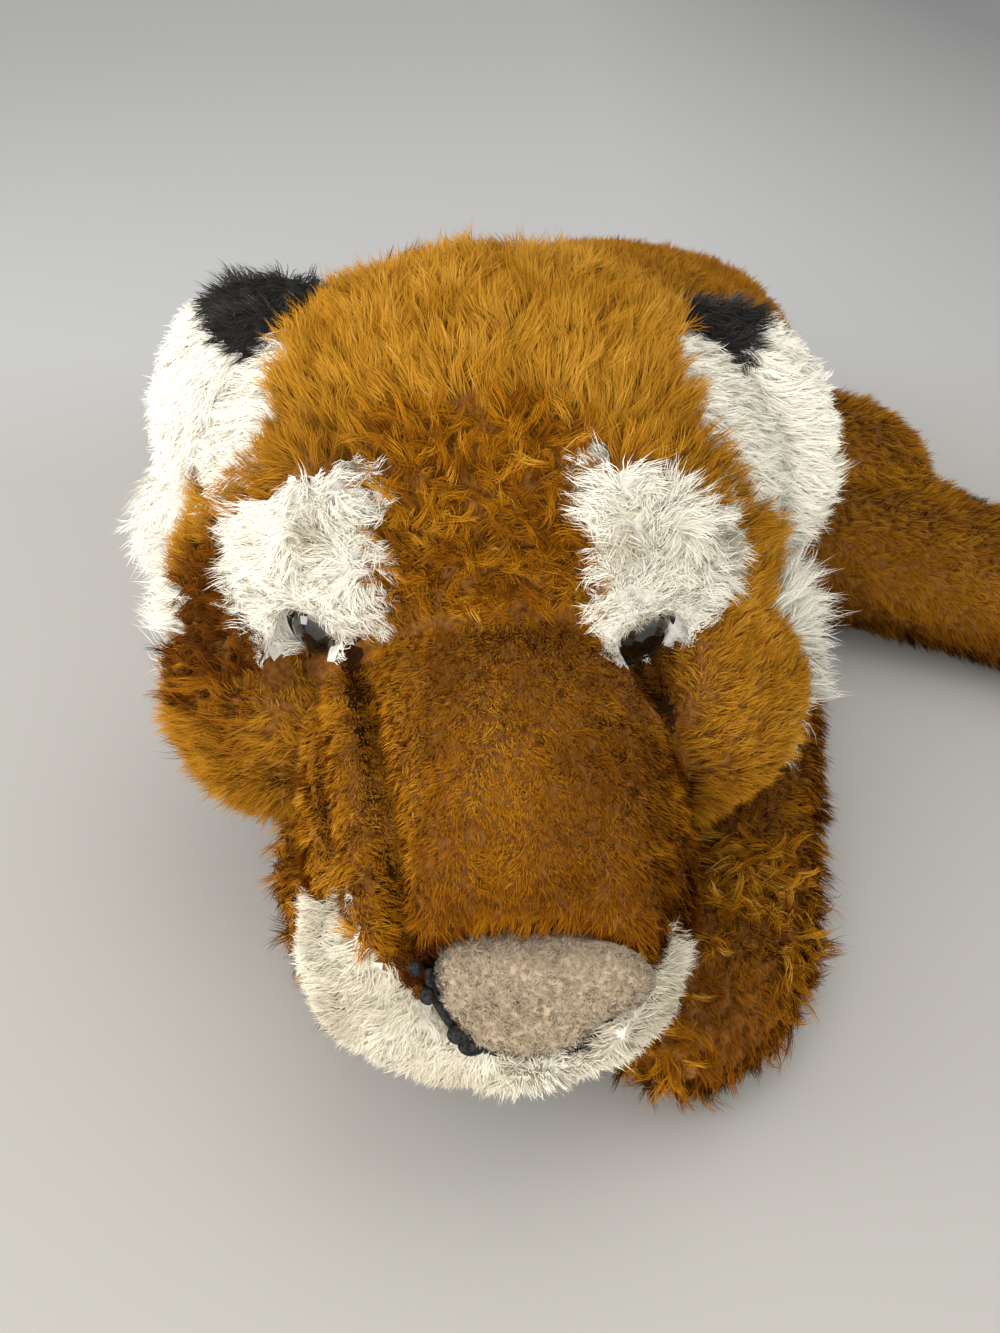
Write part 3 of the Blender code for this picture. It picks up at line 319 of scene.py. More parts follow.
def makeSkin(name, body, names, look, grooves=(), plumps=(), repaint=None):
    # grooves: lines that a seam pulls in, with the width and depth of each; plumps: ellipsoids that the
    # stuffing adds (frame, centre, half sizes); repaint: gives points another backing than their CAD node's
    bm = bmesh.new()
    for node in names:
        bm.from_mesh(nodes[node].data)
    bmesh.ops.remove_doubles(bm, verts=bm.verts, dist=1e-6)
    for place, centre, half in plumps:
        addBall(bm, place, centre, half, around=32, up=20)
    skin = meshObject(name, bm)
    remesh = skin.modifiers.new("oneSkin", "REMESH")
    remesh.mode, remesh.voxel_size = "VOXEL", look["voxel"]
    soften = skin.modifiers.new("soften", "SMOOTH")
    soften.factor, soften.iterations = sewing["soften"], look["smoothing"]
    graph = bpy.context.evaluated_depsgraph_get()
    mesh = bpy.data.meshes.new_from_object(skin.evaluated_get(graph))
    skin.modifiers.clear()
    skin.data = mesh
    keepOutside(mesh)
    normals = numbers(mesh.vertices, "normal", 3)
    places = numbers(mesh.vertices, "co", 3)
    bumps = look["puff"] * (noiseAt(places, sewing["puffSize"], len(name)) * 2 - 1)
    for line, width, depth in grooves:
        gap = lineGap(places, line)[0]
        bumps -= depth * np.exp(-gap / width)
    places += normals * (look["fuller"] + bumps)[:, None]
    places[:, 2] = np.maximum(places[:, 2], 0.0)
    mesh.vertices.foreach_set("co", places.ravel())
    mesh.update()
    mesh.shade_smooth()
    outer = [node for node in names if not node.endswith("filling")]
    nearest = nearestNode(places, outer)
    repainted = repaint(places) if repaint else {}
    families = sorted({familyOf(node) for node in outer} | set(repainted))
    for family in families:
        mesh.materials.append(backings[family])
    slots = np.array([families.index(familyOf(node)) for node in outer])[nearest]
    for family, mask in repainted.items():
        slots[mask] = families.index(family)
    # the knit along each crease takes the crease colour: painted shade in the groove
    if grooves:
        mesh.materials.append(backings["crease"])
        for line, width, _ in grooves:
            slots[lineGap(places, line)[0] < width * sewing["creaseReach"]] = len(families)
    starts = numbers(mesh.polygons, "loop_start", 1).astype(int)
    corners = numbers(mesh.loops, "vertex_index", 1).astype(int)
    mesh.polygons.foreach_set("material_index", slots[corners[starts]].astype(np.int32))
    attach(skin, body)
    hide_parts(*names)
    print(f"skin {name}: {len(mesh.vertices)} points")
    return {"obj": skin, "body": body, "nearest": nearest, "names": outer}


def keepOutside(mesh):  # drops inner pockets, which nothing shows
    bm = bmesh.new()
    bm.from_mesh(mesh)
    left = set(bm.faces)
    islands = []
    while left:
        stack, island = [left.pop()], []
        while stack:
            face = stack.pop()
            island.append(face)
            for edge in face.edges:
                for other in edge.link_faces:
                    if other in left:
                        left.remove(other)
                        stack.append(other)
        islands.append(island)
    islands.sort(key=lambda island: sum(face.calc_area() for face in island))
    for island in islands[:-1]:
        bmesh.ops.delete(bm, geom=island, context="FACES")
    bm.to_mesh(mesh)
    bm.free()


def nearestNode(points, names):  # index of the CAD node nearest to each point
    places, faces, owner = [], [], []
    for index, node in enumerate(names):
        mesh = nodes[node].data
        first = len(places)
        places += [tuple(vertex.co) for vertex in mesh.vertices]
        faces += [tuple(first + k for k in polygon.vertices) for polygon in mesh.polygons]
        owner += [index] * len(mesh.polygons)
    tree = BVHTree.FromPolygons(places, faces)
    return np.array([owner[tree.find_nearest(Vector(point))[2]] for point in points])


# Pile: thin tapered strands in tufts, grown from points spread evenly over a skin

growth = {  # what all coats share; angles in degrees
    "clumpLean": 26, "clumpLength": 0.25, "clumpTone": 0.22,  # how far whole clumps differ
    "rootLean": 0.55, "rootSpread": 7, "tipLean": 1.35, "tipSpread": 9, "flattest": 96,
    "shortest": 0.7, "longest": 1.06, "thinnest": 0.7, "thickest": 1.25, "taper": 0.55,
    "curlDepth": 0.7, "leastCurl": 0.6, "moreCurl": 0.8,
    "taperBend": 1.5, "floorGap": 0.0004, "facesPerPiece": 190000,
    "toneColumns": 64, "columnMargin": 0.15, "endMargin": 0.02,  # of each strand's map
}


def sampleSkin(skin, rng, perSquareCm):
    mesh = skin["obj"].data
    mesh.calc_loop_triangles()
    places = numbers(mesh.vertices, "co", 3)
    normals = numbers(mesh.vertices, "normal", 3)
    corners = numbers(mesh.loop_triangles, "vertices", 3).astype(int)
    a, b, c = (places[corners[:, k]] for k in range(3))
    total = np.cumsum(np.linalg.norm(np.cross(b - a, c - a), axis=1) / 2)
    count = int(total[-1] * 1e4 * perSquareCm)  # 1e4 square centimetres in a square metre
    chosen = np.searchsorted(total, (np.arange(count) + rng.random(count)) * total[-1] / count)
    chosen = np.minimum(chosen, len(corners) - 1)
    r1, r2 = np.sqrt(rng.random(count)), rng.random(count)
    shares = np.stack([1 - r1, r1 * (1 - r2), r1 * r2], 1)
    point = sum(shares[:, k, None] * places[corners[chosen, k]] for k in range(3))
    normal = unit(sum(shares[:, k, None] * normals[corners[chosen, k]] for k in range(3)))
    near = corners[chosen, np.argmax(shares, 1)]
    node = np.array(skin["names"])[skin["nearest"][near]]
    return {"point": point, "normal": normal, "node": node}


def growCoat(name, skin, sample, mask, look, family, rng):
    # look: numbers, or one number for each sampled tuft; comb: the way that the pile lies
    point, normal, comb = (sample[key][mask] for key in ("point", "normal", "comb"))
    count, fibres = len(point), look["strands"]
    if not count:
        return
    at = {}
    for key in ("lean", "length", "lengthSpread", "swirl", "spread", "gather", "curl", "tone"):
        value = look[key]
        at[key] = value[mask] if isinstance(value, np.ndarray) else np.full(count, value)
    comb = comb + driftAt(point, look["driftSize"], seed=7) * look["drift"]
    side = unit(np.cross(normal, comb))
    lay = np.cross(side, normal)
    swirl = (rng.normal(0, 1, count) * at["swirl"])[:, None]
    lay = unit(lay * np.cos(swirl) + side * np.sin(swirl))
    side = np.cross(normal, lay)
    clump = noiseAt(point, look["clump"], seed=9) - 0.5
    lean = at["lean"] + rng.normal(0, look["leanSpread"], count) - growth["clumpLean"] * clump
    length = at["length"] * (1 + growth["clumpLength"] * clump + rng.normal(0, 1, count) * at["lengthSpread"])
    tuftTone = at["tone"] + growth["clumpTone"] * clump + rng.normal(0, look["tuftTone"], count)
    total = count * fibres
    owner = np.repeat(np.arange(count), fibres)
    reach = at["spread"][owner] * np.sqrt(rng.random(total))
    angle = rng.random(total) * 2 * np.pi
    offset = side[owner] * (reach * np.cos(angle))[:, None] + lay[owner] * (reach * np.sin(angle))[:, None]
    root = point[owner] + offset - normal[owner] * look["sink"]
    rootTilt = lean[owner] * growth["rootLean"] + rng.normal(0, growth["rootSpread"], total)
    tipTilt = np.clip(lean[owner] * growth["tipLean"], 0, growth["flattest"])
    tipTilt = tipTilt + rng.normal(0, growth["tipSpread"], total)
    start, end = (
        normal[owner] * np.cos(tilt)[:, None] + lay[owner] * np.sin(tilt)[:, None]
        for tilt in (np.radians(rootTilt), np.radians(tipTilt))
    )
    far = (length[owner] * rng.uniform(growth["shortest"], growth["longest"], total))[:, None]
    phase = (rng.random(count) * 2 * np.pi)[owner] + rng.normal(0, look["fray"], total)
    curl = at["curl"][owner] * (growth["leastCurl"] + growth["moreCurl"] * rng.random(count))[owner]
    steps = look["steps"]
    lines = np.empty((total, steps + 1, 3))
    for k in range(steps + 1):
        t = k / steps
        wind = phase + look["winds"] * t
        lines[:, k] = (
            root + (start * t + (end - start) * (t * t / 2)) * far
            - offset * (at["gather"][owner] * t)[:, None]
            + side[owner] * (curl * t * np.sin(wind))[:, None]
            + lay[owner] * (curl * t * np.cos(wind) * growth["curlDepth"])[:, None]
        )
    tone = np.clip(tuftTone[owner] + rng.normal(0, look["toneSpread"], total), 0, 0.999)
    most = growth["facesPerPiece"] // (2 * steps - 1)
    for k in range(0, total, most):
        piece = slice(k, k + most)
        pile = strandMesh(f"{name}_{k // most}", lines[piece], normal[owner[piece]], tone[piece], look, rng)
        pile.data.materials.append(piles[family])
        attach(pile, skin["body"])
    print(f"pile {name}: {total} strands")


def strandMesh(name, lines, normal, tone, look, rng):
    total, levels, _ = lines.shape
    ahead = unit(lines[:, -1] - lines[:, 0])
    across = unit(np.cross(ahead, normal))
    lift = np.cross(across, ahead)
    roll = rng.normal(0, look["roll"], total)[:, None]
    across = across * np.cos(roll) + lift * np.sin(roll)
    width = look["width"] * rng.uniform(growth["thinnest"], growth["thickest"], total)
    steps = levels - 1
    per = 2 * steps + 1
    points = np.empty((total, per, 3))
    for k in range(steps):
        half = (width * 0.5 * (1 - growth["taper"] * (k / steps) ** growth["taperBend"]))[:, None] * across
        points[:, 2 * k] = lines[:, k] - half
        points[:, 2 * k + 1] = lines[:, k] + half
    points[:, -1] = lines[:, -1]
    points[:, :, 2] = np.maximum(points[:, :, 2], growth["floorGap"])
    corners = [corner for k in range(steps - 1) for corner in (2 * k, 2 * k + 1, 2 * k + 3, 2 * k + 2)]
    corners = np.array(corners + [2 * steps - 2, 2 * steps - 1, 2 * steps])
    sizes = [4] * (steps - 1) + [3]
    loops = (corners[None] + np.arange(total)[:, None] * per).ravel()
    starts = np.concatenate([[0], np.cumsum(sizes)[:-1]])
    starts = (starts[None] + np.arange(total)[:, None] * sum(sizes)).ravel()
    mesh = bpy.data.meshes.new(name)
    mesh.vertices.add(total * per)
    mesh.vertices.foreach_set("co", points.astype(np.float32).ravel())
    mesh.loops.add(len(loops))
    mesh.loops.foreach_set("vertex_index", loops.astype(np.int32))
    mesh.polygons.add(len(starts))
    mesh.polygons.foreach_set("loop_start", starts.astype(np.int32))
    mesh.update(calc_edges=True)
    mesh.shade_smooth()
    flat = np.cross(across, ahead)[:, None]
    soft = unit(normal[:, None] * look["softness"] + flat * (1 - look["softness"]))
    mesh.normals_split_custom_set_from_vertices(np.repeat(soft, per, 1).reshape(-1, 3).astype(np.float32))
    # the map: across one narrow column of the tones, up from root to tip, clear of the edges
    columns, margin, end = (growth[key] for key in ("toneColumns", "columnMargin", "endMargin"))
    column = np.clip((tone * columns).astype(int), 0, columns - 1)
    side = np.where(corners == 2 * steps, 0.5, corners % 2)
    u = (column[:, None] + margin + (1 - 2 * margin) * side[None]) / columns
    v = np.repeat((end + (1 - 2 * end) * (corners // 2) / steps)[None], total, 0)
    layer = mesh.uv_layers.new(name="OFBake")
    layer.uv.foreach_set("vector", np.stack([u, v], -1).astype(np.float32).ravel())
    return placeObject(name, mesh)


plush = {  # every coat starts from one of these looks and adds its own length, lean and tone
    "strands": 8, "swirl": 0.3, "leanSpread": 8, "lengthSpread": 0.14, "spread": 0.0016, "gather": 0.3,
    "sink": 0.0008, "steps": 3, "curl": 0.0006, "winds": 5.0, "fray": 0.8, "roll": 0.6, "width": 0.00029,
    "toneSpread": 0.06, "drift": 0.9, "driftSize": 0.008, "softness": 0.74, "tuftTone": 0.03, "clump": 0.0065,
}
curly = {  # matted locks
    **plush, "strands": 15, "swirl": 1.1, "leanSpread": 14, "lengthSpread": 0.25, "spread": 0.0022,
    "gather": 0.62, "steps": 4, "curl": 0.0017, "winds": 4.6, "fray": 0.45, "drift": 1.4, "tuftTone": 0.12,
    "clump": 0.008,
}
velvet = {
    **plush, "lean": 48, "leanSpread": 10, "spread": 0.0015, "gather": 0.15, "curl": 0.0003, "width": 0.00028,
    "drift": 0.6, "driftSize": 0.006, "steps": 2,
}


makeCamera()
makeFloor()
makeLight()
print("stage ready")


# Head

headPose = {"neck": (0, -0.13, 0.095), "turn": 17.0, "tilt": -1.5}  # angles in degrees
headFrame = (
    Matrix.Translation(headPose["neck"])
    @ Matrix.Rotation(math.radians(headPose["turn"]), 4, "Z")
    @ Matrix.Rotation(math.radians(headPose["tilt"]), 4, "Y")
)


def headLocal(points):
    inverse = np.array(headFrame.inverted())
    return points @ inverse[:3, :3].T + inverse[:3, 3]


def headWorld(vectors):
    return vectors @ np.array(headFrame)[:3, :3].T


def headPlace(points):
    return headWorld(np.array(points, float)) + np.array(headFrame)[:3, 3]


skull = {"centre": (0, -0.030, 0.036), "half": (0.099, 0.083, 0.078)}
eye = {"side": 0.0505, "low": 0.012, "radius": 0.010}


def facing(point, normal):  # a frame at the point, with Z along the normal
    across = Vector((0, 0, 1)).cross(normal).normalized()
    turn = Matrix((across, normal.cross(across), normal)).transposed().to_4x4()
    return Matrix.Translation(point) @ turn


def eyeFrame(side):  # in the head's frame: Z out along the stem
    half, centre = skull["half"], Vector(skull["centre"])
    across, up = side * eye["side"] / half[0], -eye["low"] / half[2]
    forward = math.sqrt(1 - across**2 - up**2)
    point = centre + Vector((across * half[0], -forward * half[1], up * half[2]))
    normal = Vector((across / half[0], -forward / half[1], up / half[2])).normalized()
    return facing(point, normal)


noseRim = [
    (-0.010, -0.204, -0.010), (-0.0065, -0.208, -0.024), (0.003, -0.2115, -0.034), (0.018, -0.2120, -0.040),
    (0.033, -0.2105, -0.035), (0.0435, -0.207, -0.024), (0.047, -0.203, -0.012),
]
headNodes = [
    "head_cover", "head_filling", "cheek_left", "cheek_right", "ruff_left", "ruff_right", "muzzle_bridge",
    "muzzle_side_left", "muzzle_side_right", "whisker_pad_left", "whisker_pad_right", "chin",
    "eye_patch_left", "eye_patch_right",
]
creases = {  # seams that the stuffing pulls in, in the head's frame
    "innerRight": [(-0.0397, -0.1052, 0.0229), (-0.0315, -0.1269, 0.0157), (-0.0208, -0.1693, 0.0058),
                   (-0.0142, -0.1994, -0.0092)],
    "outerRight": [(-0.0530, -0.1050, 0.0200), (-0.0500, -0.1260, 0.0090), (-0.0468, -0.1373, 0.0045),
                   (-0.0425, -0.1560, -0.0030), (-0.0394, -0.1676, -0.0077)],
    "outerLeft": [(0.0542, -0.0987, 0.0118), (0.0608, -0.1272, 0.0020), (0.0600, -0.1450, -0.0120)],
}
crease = {"width": 0.0035, "depth": 0.0085, "bare": 0.0011}
stuffing = (  # fuller than the solids: right and left cheek, lower lip; centre and half sizes
    ((-0.069, -0.053, 0.010), (0.038, 0.044, 0.041)),
    ((0.062, -0.055, 0.014), (0.036, 0.044, 0.037)),
    ((0.008, -0.199, -0.044), (0.036, 0.015, 0.012)),
)
roll = [  # centres along the padded roll between the two creases beside the muzzle
    (-0.0410, -0.1050, 0.0145), (-0.0382, -0.1180, 0.0095), (-0.0350, -0.1310, 0.0042),
    (-0.0322, -0.1430, 0.0004), (-0.0293, -0.1550, -0.0034), (-0.0262, -0.1670, -0.0074),
    (-0.0232, -0.1780, -0.0118), (-0.0200, -0.1880, -0.0160),
]
rollHalf = (0.0108, 0.0150, 0.0108)
patches = {  # the white patches over the eyes: outlines across and up, and how far back and ahead they reach
    "right": ((-0.053, 0.077), (-0.030, 0.079), (-0.0275, 0.064), (-0.0300, 0.040), (-0.0285, 0.027),
              (-0.038, 0.025), (-0.047, 0.020), (-0.056, 0.013), (-0.067, 0.016), (-0.081, 0.036),
              (-0.078, 0.052)),
    "left": ((0.034, 0.080), (0.050, 0.080), (0.060, 0.073), (0.069, 0.065), (0.075, 0.055), (0.080, 0.040),
             (0.067, 0.022), (0.050, 0.012), (0.040, 0.020), (0.0375, 0.038), (0.038, 0.052), (0.0335, 0.066),
             (0.031, 0.075)),
    "reach": (-0.055, -0.121),
}
earBases = {  # the white skull round the ears: each edge slants away from its corner
    "right": {"edge": -0.061, "slant": 0.93, "top": 0.078, "low": 0.046},
    "left": {"edge": 0.0565, "slant": 0.65, "top": 0.0957, "low": 0.030},
}
landmarks = {  # points that the head's pile is combed from or to, and areas of other pile
    "muzzleTip": (0.012, -0.205, -0.02),
    "noseMiddle": (0.018, -0.206, -0.022),
    "mattedCheek": ((-0.086, -0.092, 0.018), (0.030, 0.040, 0.034)),
    "smudge": ((0.0465, 0.109, 0.0600), (0.0050, 0.02, 0.0065)),
}
borders = {  # where the head's coats meet, in the head's frame
    "skullLow": 0.026, "skullFront": -0.125, "faceBack": -0.05, "eyeOpening": 0.0124, "padTop": -0.0118,
    "ruffSide": 0.094, "ruffTop": 0.022, "ruffFront": -0.080,
    "foreheadHalf": 0.034, "foreheadLow": (0.030, 0.045), "foreheadHigh": (0.084, 0.100),
}


def within(across, up, outline):  # which points lie inside a closed outline
    inside = np.zeros(len(across), bool)
    for (x0, z0), (x1, z1) in zip(outline, outline[1:] + outline[:1]):
        crosses = (z0 > up) != (z1 > up)
        inside ^= crosses & (across < x0 + (up - z0) * (x1 - x0) / (z1 - z0 or 1e-9))
    return inside


def inPatch(x, y, z):
    back, front = patches["reach"]
    inside = within(x, z, patches["right"]) | within(x, z, patches["left"])
    return inside & (y < back) & (y > front)


def byEar(x, y, z):
    right, left = earBases["right"], earBases["left"]
    byRight = (x < right["edge"] - right["slant"] * np.maximum(0, right["top"] - z)) & (z > right["low"])
    byLeft = (x > left["edge"] + left["slant"] * (left["top"] - z)) & (z > left["low"]) & (z < left["top"])
    return (y < 0.0) & (byRight | byLeft)


def headBacking(places):
    x, y, z = headLocal(places).T
    white = inPatch(x, y, z) | byEar(x, y, z)
    above = (z > borders["skullLow"]) & (y > borders["skullFront"])  # the skull over the muzzle
    return {"orange": above & ~white, "white": white}


headSkin = makeSkin(
    "head_skin", "head", headNodes,
    {"voxel": 0.0026, "smoothing": 3, "fuller": 0.0006, "puff": 0.0008, "fill": 0.8},
    [(headPlace(line), crease["width"], crease["depth"]) for line in creases.values()],
    [(headFrame, *form) for form in stuffing] + [(headFrame, centre, rollHalf) for centre in roll],
    headBacking,
)


def aroundEyes(local):  # distance from the nearest eye's axis and the way from it, for points on the face
    gaps, arms = np.full(len(local), 1.0), np.zeros((len(local), 3))
    for side in sides.values():
        place = eyeFrame(side)
        axis = np.array(place.col[2][:3])
        arm = local - np.array(place.translation)
        arm -= (arm @ axis)[:, None] * axis
        gap = np.linalg.norm(arm, axis=1)
        closer = (gap < gaps) & (local[:, 1] < borders["faceBack"])
        gaps[closer], arms[closer] = gap[closer], arm[closer]
    return gaps, arms


def aroundCreases(local):  # distance from the nearest crease and the way from it
    gaps, arms = np.full(len(local), 1.0), np.zeros((len(local), 3))
    for line in creases.values():
        gap, _, ahead = lineGap(local, line)
        arm = local - np.array(line[0])
        arm -= (arm * ahead).sum(1)[:, None] * ahead
        closer = gap < gaps
        gaps[closer], arms[closer] = gap[closer], arm[closer]
    return gaps, arms


def headCoats():
    rng = np.random.default_rng(11)
    sample = sampleSkin(headSkin, rng, perSquareCm=48)
    point, node = sample["point"], sample["node"]
    local = headLocal(point)
    x, y, z = local.T
    wobble = noiseAt(point, size=0.007, seed=21) * 2 - 1
    blotch = noiseAt(point, size=0.016, seed=22) * 2 - 1
    ragged = driftAt(point, size=0.006, seed=23) * 0.0022

    # the pile is short by the eyes, mostly above them
    eyeGap, fromEye = aroundEyes(local)
    uncovered = eyeGap > borders["eyeOpening"] + 0.0005 * wobble
    over = ramped(fromEye[:, 2], -0.006, 0.004)
    trimmed = 1 - (0.42 + 0.24 * over) * (1 - ramped(eyeGap, 0.012, 0.018 + 0.012 * over))
    byEye = 1 - ramped(eyeGap, 0.013, 0.021)
    away = unit(fromEye) * (byEye * (0.4 + 1.4 * over))[:, None]

    # which coat grows where
    isPad = np.char.startswith(node, "whisker") | (node == "chin")
    isStrip = isPad & (z > borders["padTop"] + 0.0012 * wobble) & (x < 0.0)
    isPad &= ~isStrip
    isBridge = np.isin(node, ("muzzle_bridge", "muzzle_side_left", "muzzle_side_right")) | isStrip
    aside = (np.abs(x) > borders["ruffSide"]) & (z < borders["ruffTop"]) & (y > borders["ruffFront"])
    isRuff = np.char.startswith(node, "ruff") | aside
    isPatch = inPatch(x + ragged[:, 0], y, z + ragged[:, 2]) & ~isBridge
    isEarBase = byEar(x + 0.003 * wobble, y, z) & ~isBridge & ~isPad & ~isRuff & ~isPatch
    rest = uncovered & ~isBridge & ~isPad & ~isRuff & ~isPatch & ~isEarBase
    forehead = np.exp(-((x / borders["foreheadHalf"]) ** 4)) * ramped(z, *borders["foreheadLow"])
    forehead *= (1 - ramped(z, *borders["foreheadHigh"])) * (y < borders["faceBack"])
    matted = nearness(local, *landmarks["mattedCheek"])
    isCurly = rest & ((forehead + 0.25 * wobble > 0.5) | (matted + 0.2 * wobble > 0.50))
    isPlush = rest & ~isCurly

    # the pile is parted, short and darkened with painted shade along the creases
    seam, fromSeam = aroundCreases(local)
    pulled = 1 - ramped(seam, 0.0010, np.where(isBridge, 0.0055, 0.0090))
    shaded = 0.70 * np.exp(-(seam / np.where(isBridge, 0.0028, 0.0042)) ** 2)
    parting = unit(fromSeam) * (0.8 * pulled)[:, None]

    def coat(name, mask, look, family, comb):
        mask = mask & (seam >= crease["bare"]) & (rng.random(len(mask)) < look["share"])
        growCoat(name, headSkin, {**sample, "comb": headWorld(comb)}, mask, look, family, rng)

    radial = unit(local - np.array(landmarks["muzzleTip"]))
    crown = ramped(z, 0.060, 0.095)
    edge = ramped(np.abs(x), 0.070, 0.095)
    farCheek = ramped(x, 0.065, 0.085) * (1 - ramped(z, 0.015, 0.035))
    shortened = 1 - 0.72 * pulled
    coat("head_plush", isPlush, {
        **plush, "share": 0.62,
        "length": (0.0100 + 0.0025 * crown + 0.0020 * edge - 0.0050 * farCheek) * shortened * trimmed,
        # lighter on the top of the head (crown): painted light; lighter towards the sides; darker along the
        # creases: painted shade
        "tone": 0.50 + 0.12 * crown + 0.12 * edge + 0.08 * blotch - shaded - 0.16 * ramped(matted, 0.2, 0.8),
        "lean": 44 + 10 * crown - 26 * byEye + 14 * farCheek,
    }, "orange", radial + away + parting)

    brow = (1 - ramped(z, 0.036, 0.056)) * (np.abs(x) < 0.05)
    coat("head_curls", isCurly, {
        **curly, "share": 0.36, "lean": 50,
        "length": (0.0120 - 0.0025 * matted - 0.0045 * brow) * trimmed,
        "tone": 0.44 + 0.08 * blotch - 0.26 * ramped(matted, 0.25, 0.7) * (blotch > -0.3),
    }, "russet", radial)

    towards = -radial + vectorsOf(0.6 * (x - 0.012) / 0.04, 0, 0)
    # middle: a lighter band down the top of the muzzle, a painted highlight; the roll between the creases
    # gets painted light too
    middle = np.exp(-(((x - 0.004 + 0.10 * (y + 0.12)) / 0.016) ** 2)) * ramped(-y, 0.10, 0.13)
    litRoll = (x < -0.012) & (y < -0.11)
    # painted shadow on the bridge's pile where its brim overhangs the nose
    brimShadow = (node == "muzzle_bridge") * ramped(-y, 0.1985, 0.2015)
    # light: painted highlights on the middle and on the roll, with random mottling
    light = 0.14 * middle + 0.11 * blotch + 0.06 * wobble + 0.20 * litRoll
    # dark: darker towards the nose, painted shade along the creases and the painted shadow at the brim
    dark = 0.09 * ramped(-y, 0.15, 0.19) + 0.10 * pulled + shaded + 0.5 * brimShadow
    coat("muzzle_velvet", isBridge & uncovered, {
        **velvet, "share": 1.0,
        "length": (0.0052 + 0.0022 * ramped(-y, 0.185, 0.198)) * (1 - 0.68 * pulled) * trimmed,
        "tone": 0.44 + light - dark,
    }, "russet", towards + away + parting)

    smudge = nearness(np.abs(local), *landmarks["smudge"])
    fromMiddle = vectorsOf(np.sign(x) * (np.abs(x) - 0.052), 0, 0.6 * (z - 0.060)) * 30
    coat("eye_patches", isPatch & uncovered, {
        **plush, "share": 0.75, "length": 0.0105 * trimmed, "curl": 0.0009, "swirl": 0.5,
        "lean": 46 - 22 * byEye * (1 - over), "tone": 0.72 + 0.06 * wobble - 0.50 * smudge,
    }, "white", unit(fromEye) * (1.2 * (1 - ramped(eyeGap, 0.018, 0.032)))[:, None] + fromMiddle)

    near = (1 - ramped(lineGap(local, noseRim)[0], 0.004, 0.009)) * ramped(x, 0.006, 0.014)
    hanging = ((1 - ramped(-z, 0.018, 0.030)) * (x < 0))[:, None]
    lips = (radial + np.array([0, 0.0, -0.25])) * (1 - near)[:, None]
    lips += unit(np.array(landmarks["noseMiddle"]) - local) * near[:, None]
    lips = lips * (1 - hanging) + np.array([-0.35, -0.1, -1.0]) * hanging
    coat("lips_velvet", isPad & uncovered, {
        **velvet, "share": 0.95, "length": 0.0062 + 0.0045 * near, "lean": 48 + 14 * near, "steps": 3,
        "swirl": 0.5, "curl": 0.0006, "width": 0.00032,
        # the lips' white is kept darker than the other white pile: partly a creamier white, partly painted
        # shade on the lower muzzle
        "tone": 0.29 + 0.18 * blotch + 0.12 * wobble + 0.15 * ramped(-z, 0.02, 0.05),
    }, "white", lips)

    coat("ear_base_tufts", isEarBase, {
        **plush, "share": 0.5, "length": 0.0100, "lengthSpread": 0.2, "lean": 66, "gather": 0.6,
        "curl": 0.0010, "steps": 4, "tone": 0.72 + 0.06 * wobble,
    }, "white", vectorsOf(np.sign(x), 0.3, -0.35))

    coat("ruff_tufts", isRuff, {
        **plush, "share": 0.5, "length": 0.019, "lengthSpread": 0.2, "lean": 52, "gather": 0.75,
        "curl": 0.0016, "steps": 4, "tone": 0.74 + 0.06 * wobble,
    }, "white", radial + np.array([0, 0, -0.5]))


headCoats()
print("head ready")


# Nose, mouth thread and eyes

noseCorner = ((0.0360, -0.2040, -0.0165), (0.0150, 0.0085, 0.0105))  # its fuller side, centre and half sizes
noseSkin = makeSkin("nose_skin", "head", ["nose"],
                    {"voxel": 0.0014, "smoothing": 2, "fuller": 0.0002, "puff": 0.0004, "fill": 0.5},
                    plumps=[(headFrame, *noseCorner)])


def noseCoat():
    rng = np.random.default_rng(12)
    sample = sampleSkin(noseSkin, rng, perSquareCm=90)
    ahead = headLocal(sample["point"] + sample["normal"]) - headLocal(sample["point"])
    sample["comb"] = driftAt(sample["point"], size=0.003, seed=31)
    wobble = noiseAt(sample["point"], size=0.0025, seed=32) * 2 - 1
    growCoat("nose_fleece", noseSkin, sample, ahead[:, 1] < 0.25, {
        **velvet, "strands": 9, "length": 0.0021, "spread": 0.0008, "curl": 0.0004, "width": 0.00021,
        "swirl": 1.0, "sink": 0.0003, "steps": 3, "tone": 0.54 + 0.10 * wobble, "toneSpread": 0.12,
        "clump": 0.003,
    }, "nose", rng)


stitches = (  # centre and half sizes, in the head's frame
    ((-0.0110, -0.2062, -0.0125), (0.0016, 0.0016, 0.0022)),
    ((-0.0078, -0.2098, -0.0190), (0.0020, 0.0017, 0.0026)),
    ((0.0005, -0.2130, -0.0300), (0.0034, 0.0022, 0.0032)),
    ((0.0035, -0.2138, -0.0338), (0.0036, 0.0022, 0.0026)),
)
thread = {"pitch": 0.0022, "slant": 1.3, "fuller": 0.00012, "twist": 0.00010}


def threadSkin():
    bm = bmesh.new()
    bm.from_mesh(nodes["mouth_thread"].data)
    bmesh.ops.remove_doubles(bm, verts=bm.verts, dist=1e-6)
    bmesh.ops.subdivide_edges(bm, edges=bm.edges, cuts=1)
    for centre, half in stitches:
        addBall(bm, headFrame, centre, half, around=16, up=10)
    skin = meshObject("mouth_stitching", bm)
    mesh = skin.data
    places = numbers(mesh.vertices, "co", 3)
    local = headLocal(places)
    twist = np.sin((local[:, 0] + thread["slant"] * local[:, 2]) * 2 * np.pi / thread["pitch"])
    places += numbers(mesh.vertices, "normal", 3) * (thread["fuller"] + thread["twist"] * twist)[:, None]
    mesh.vertices.foreach_set("co", places.ravel())
    mesh.materials.append(mottled("stitching", [(0.35, (0.006, 0.006, 0.006)), (0.65, (0.03, 0.028, 0.027))],
                                  0.0012, 0.7, 0.0003))
    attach(skin, "head")
    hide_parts("mouth_thread")


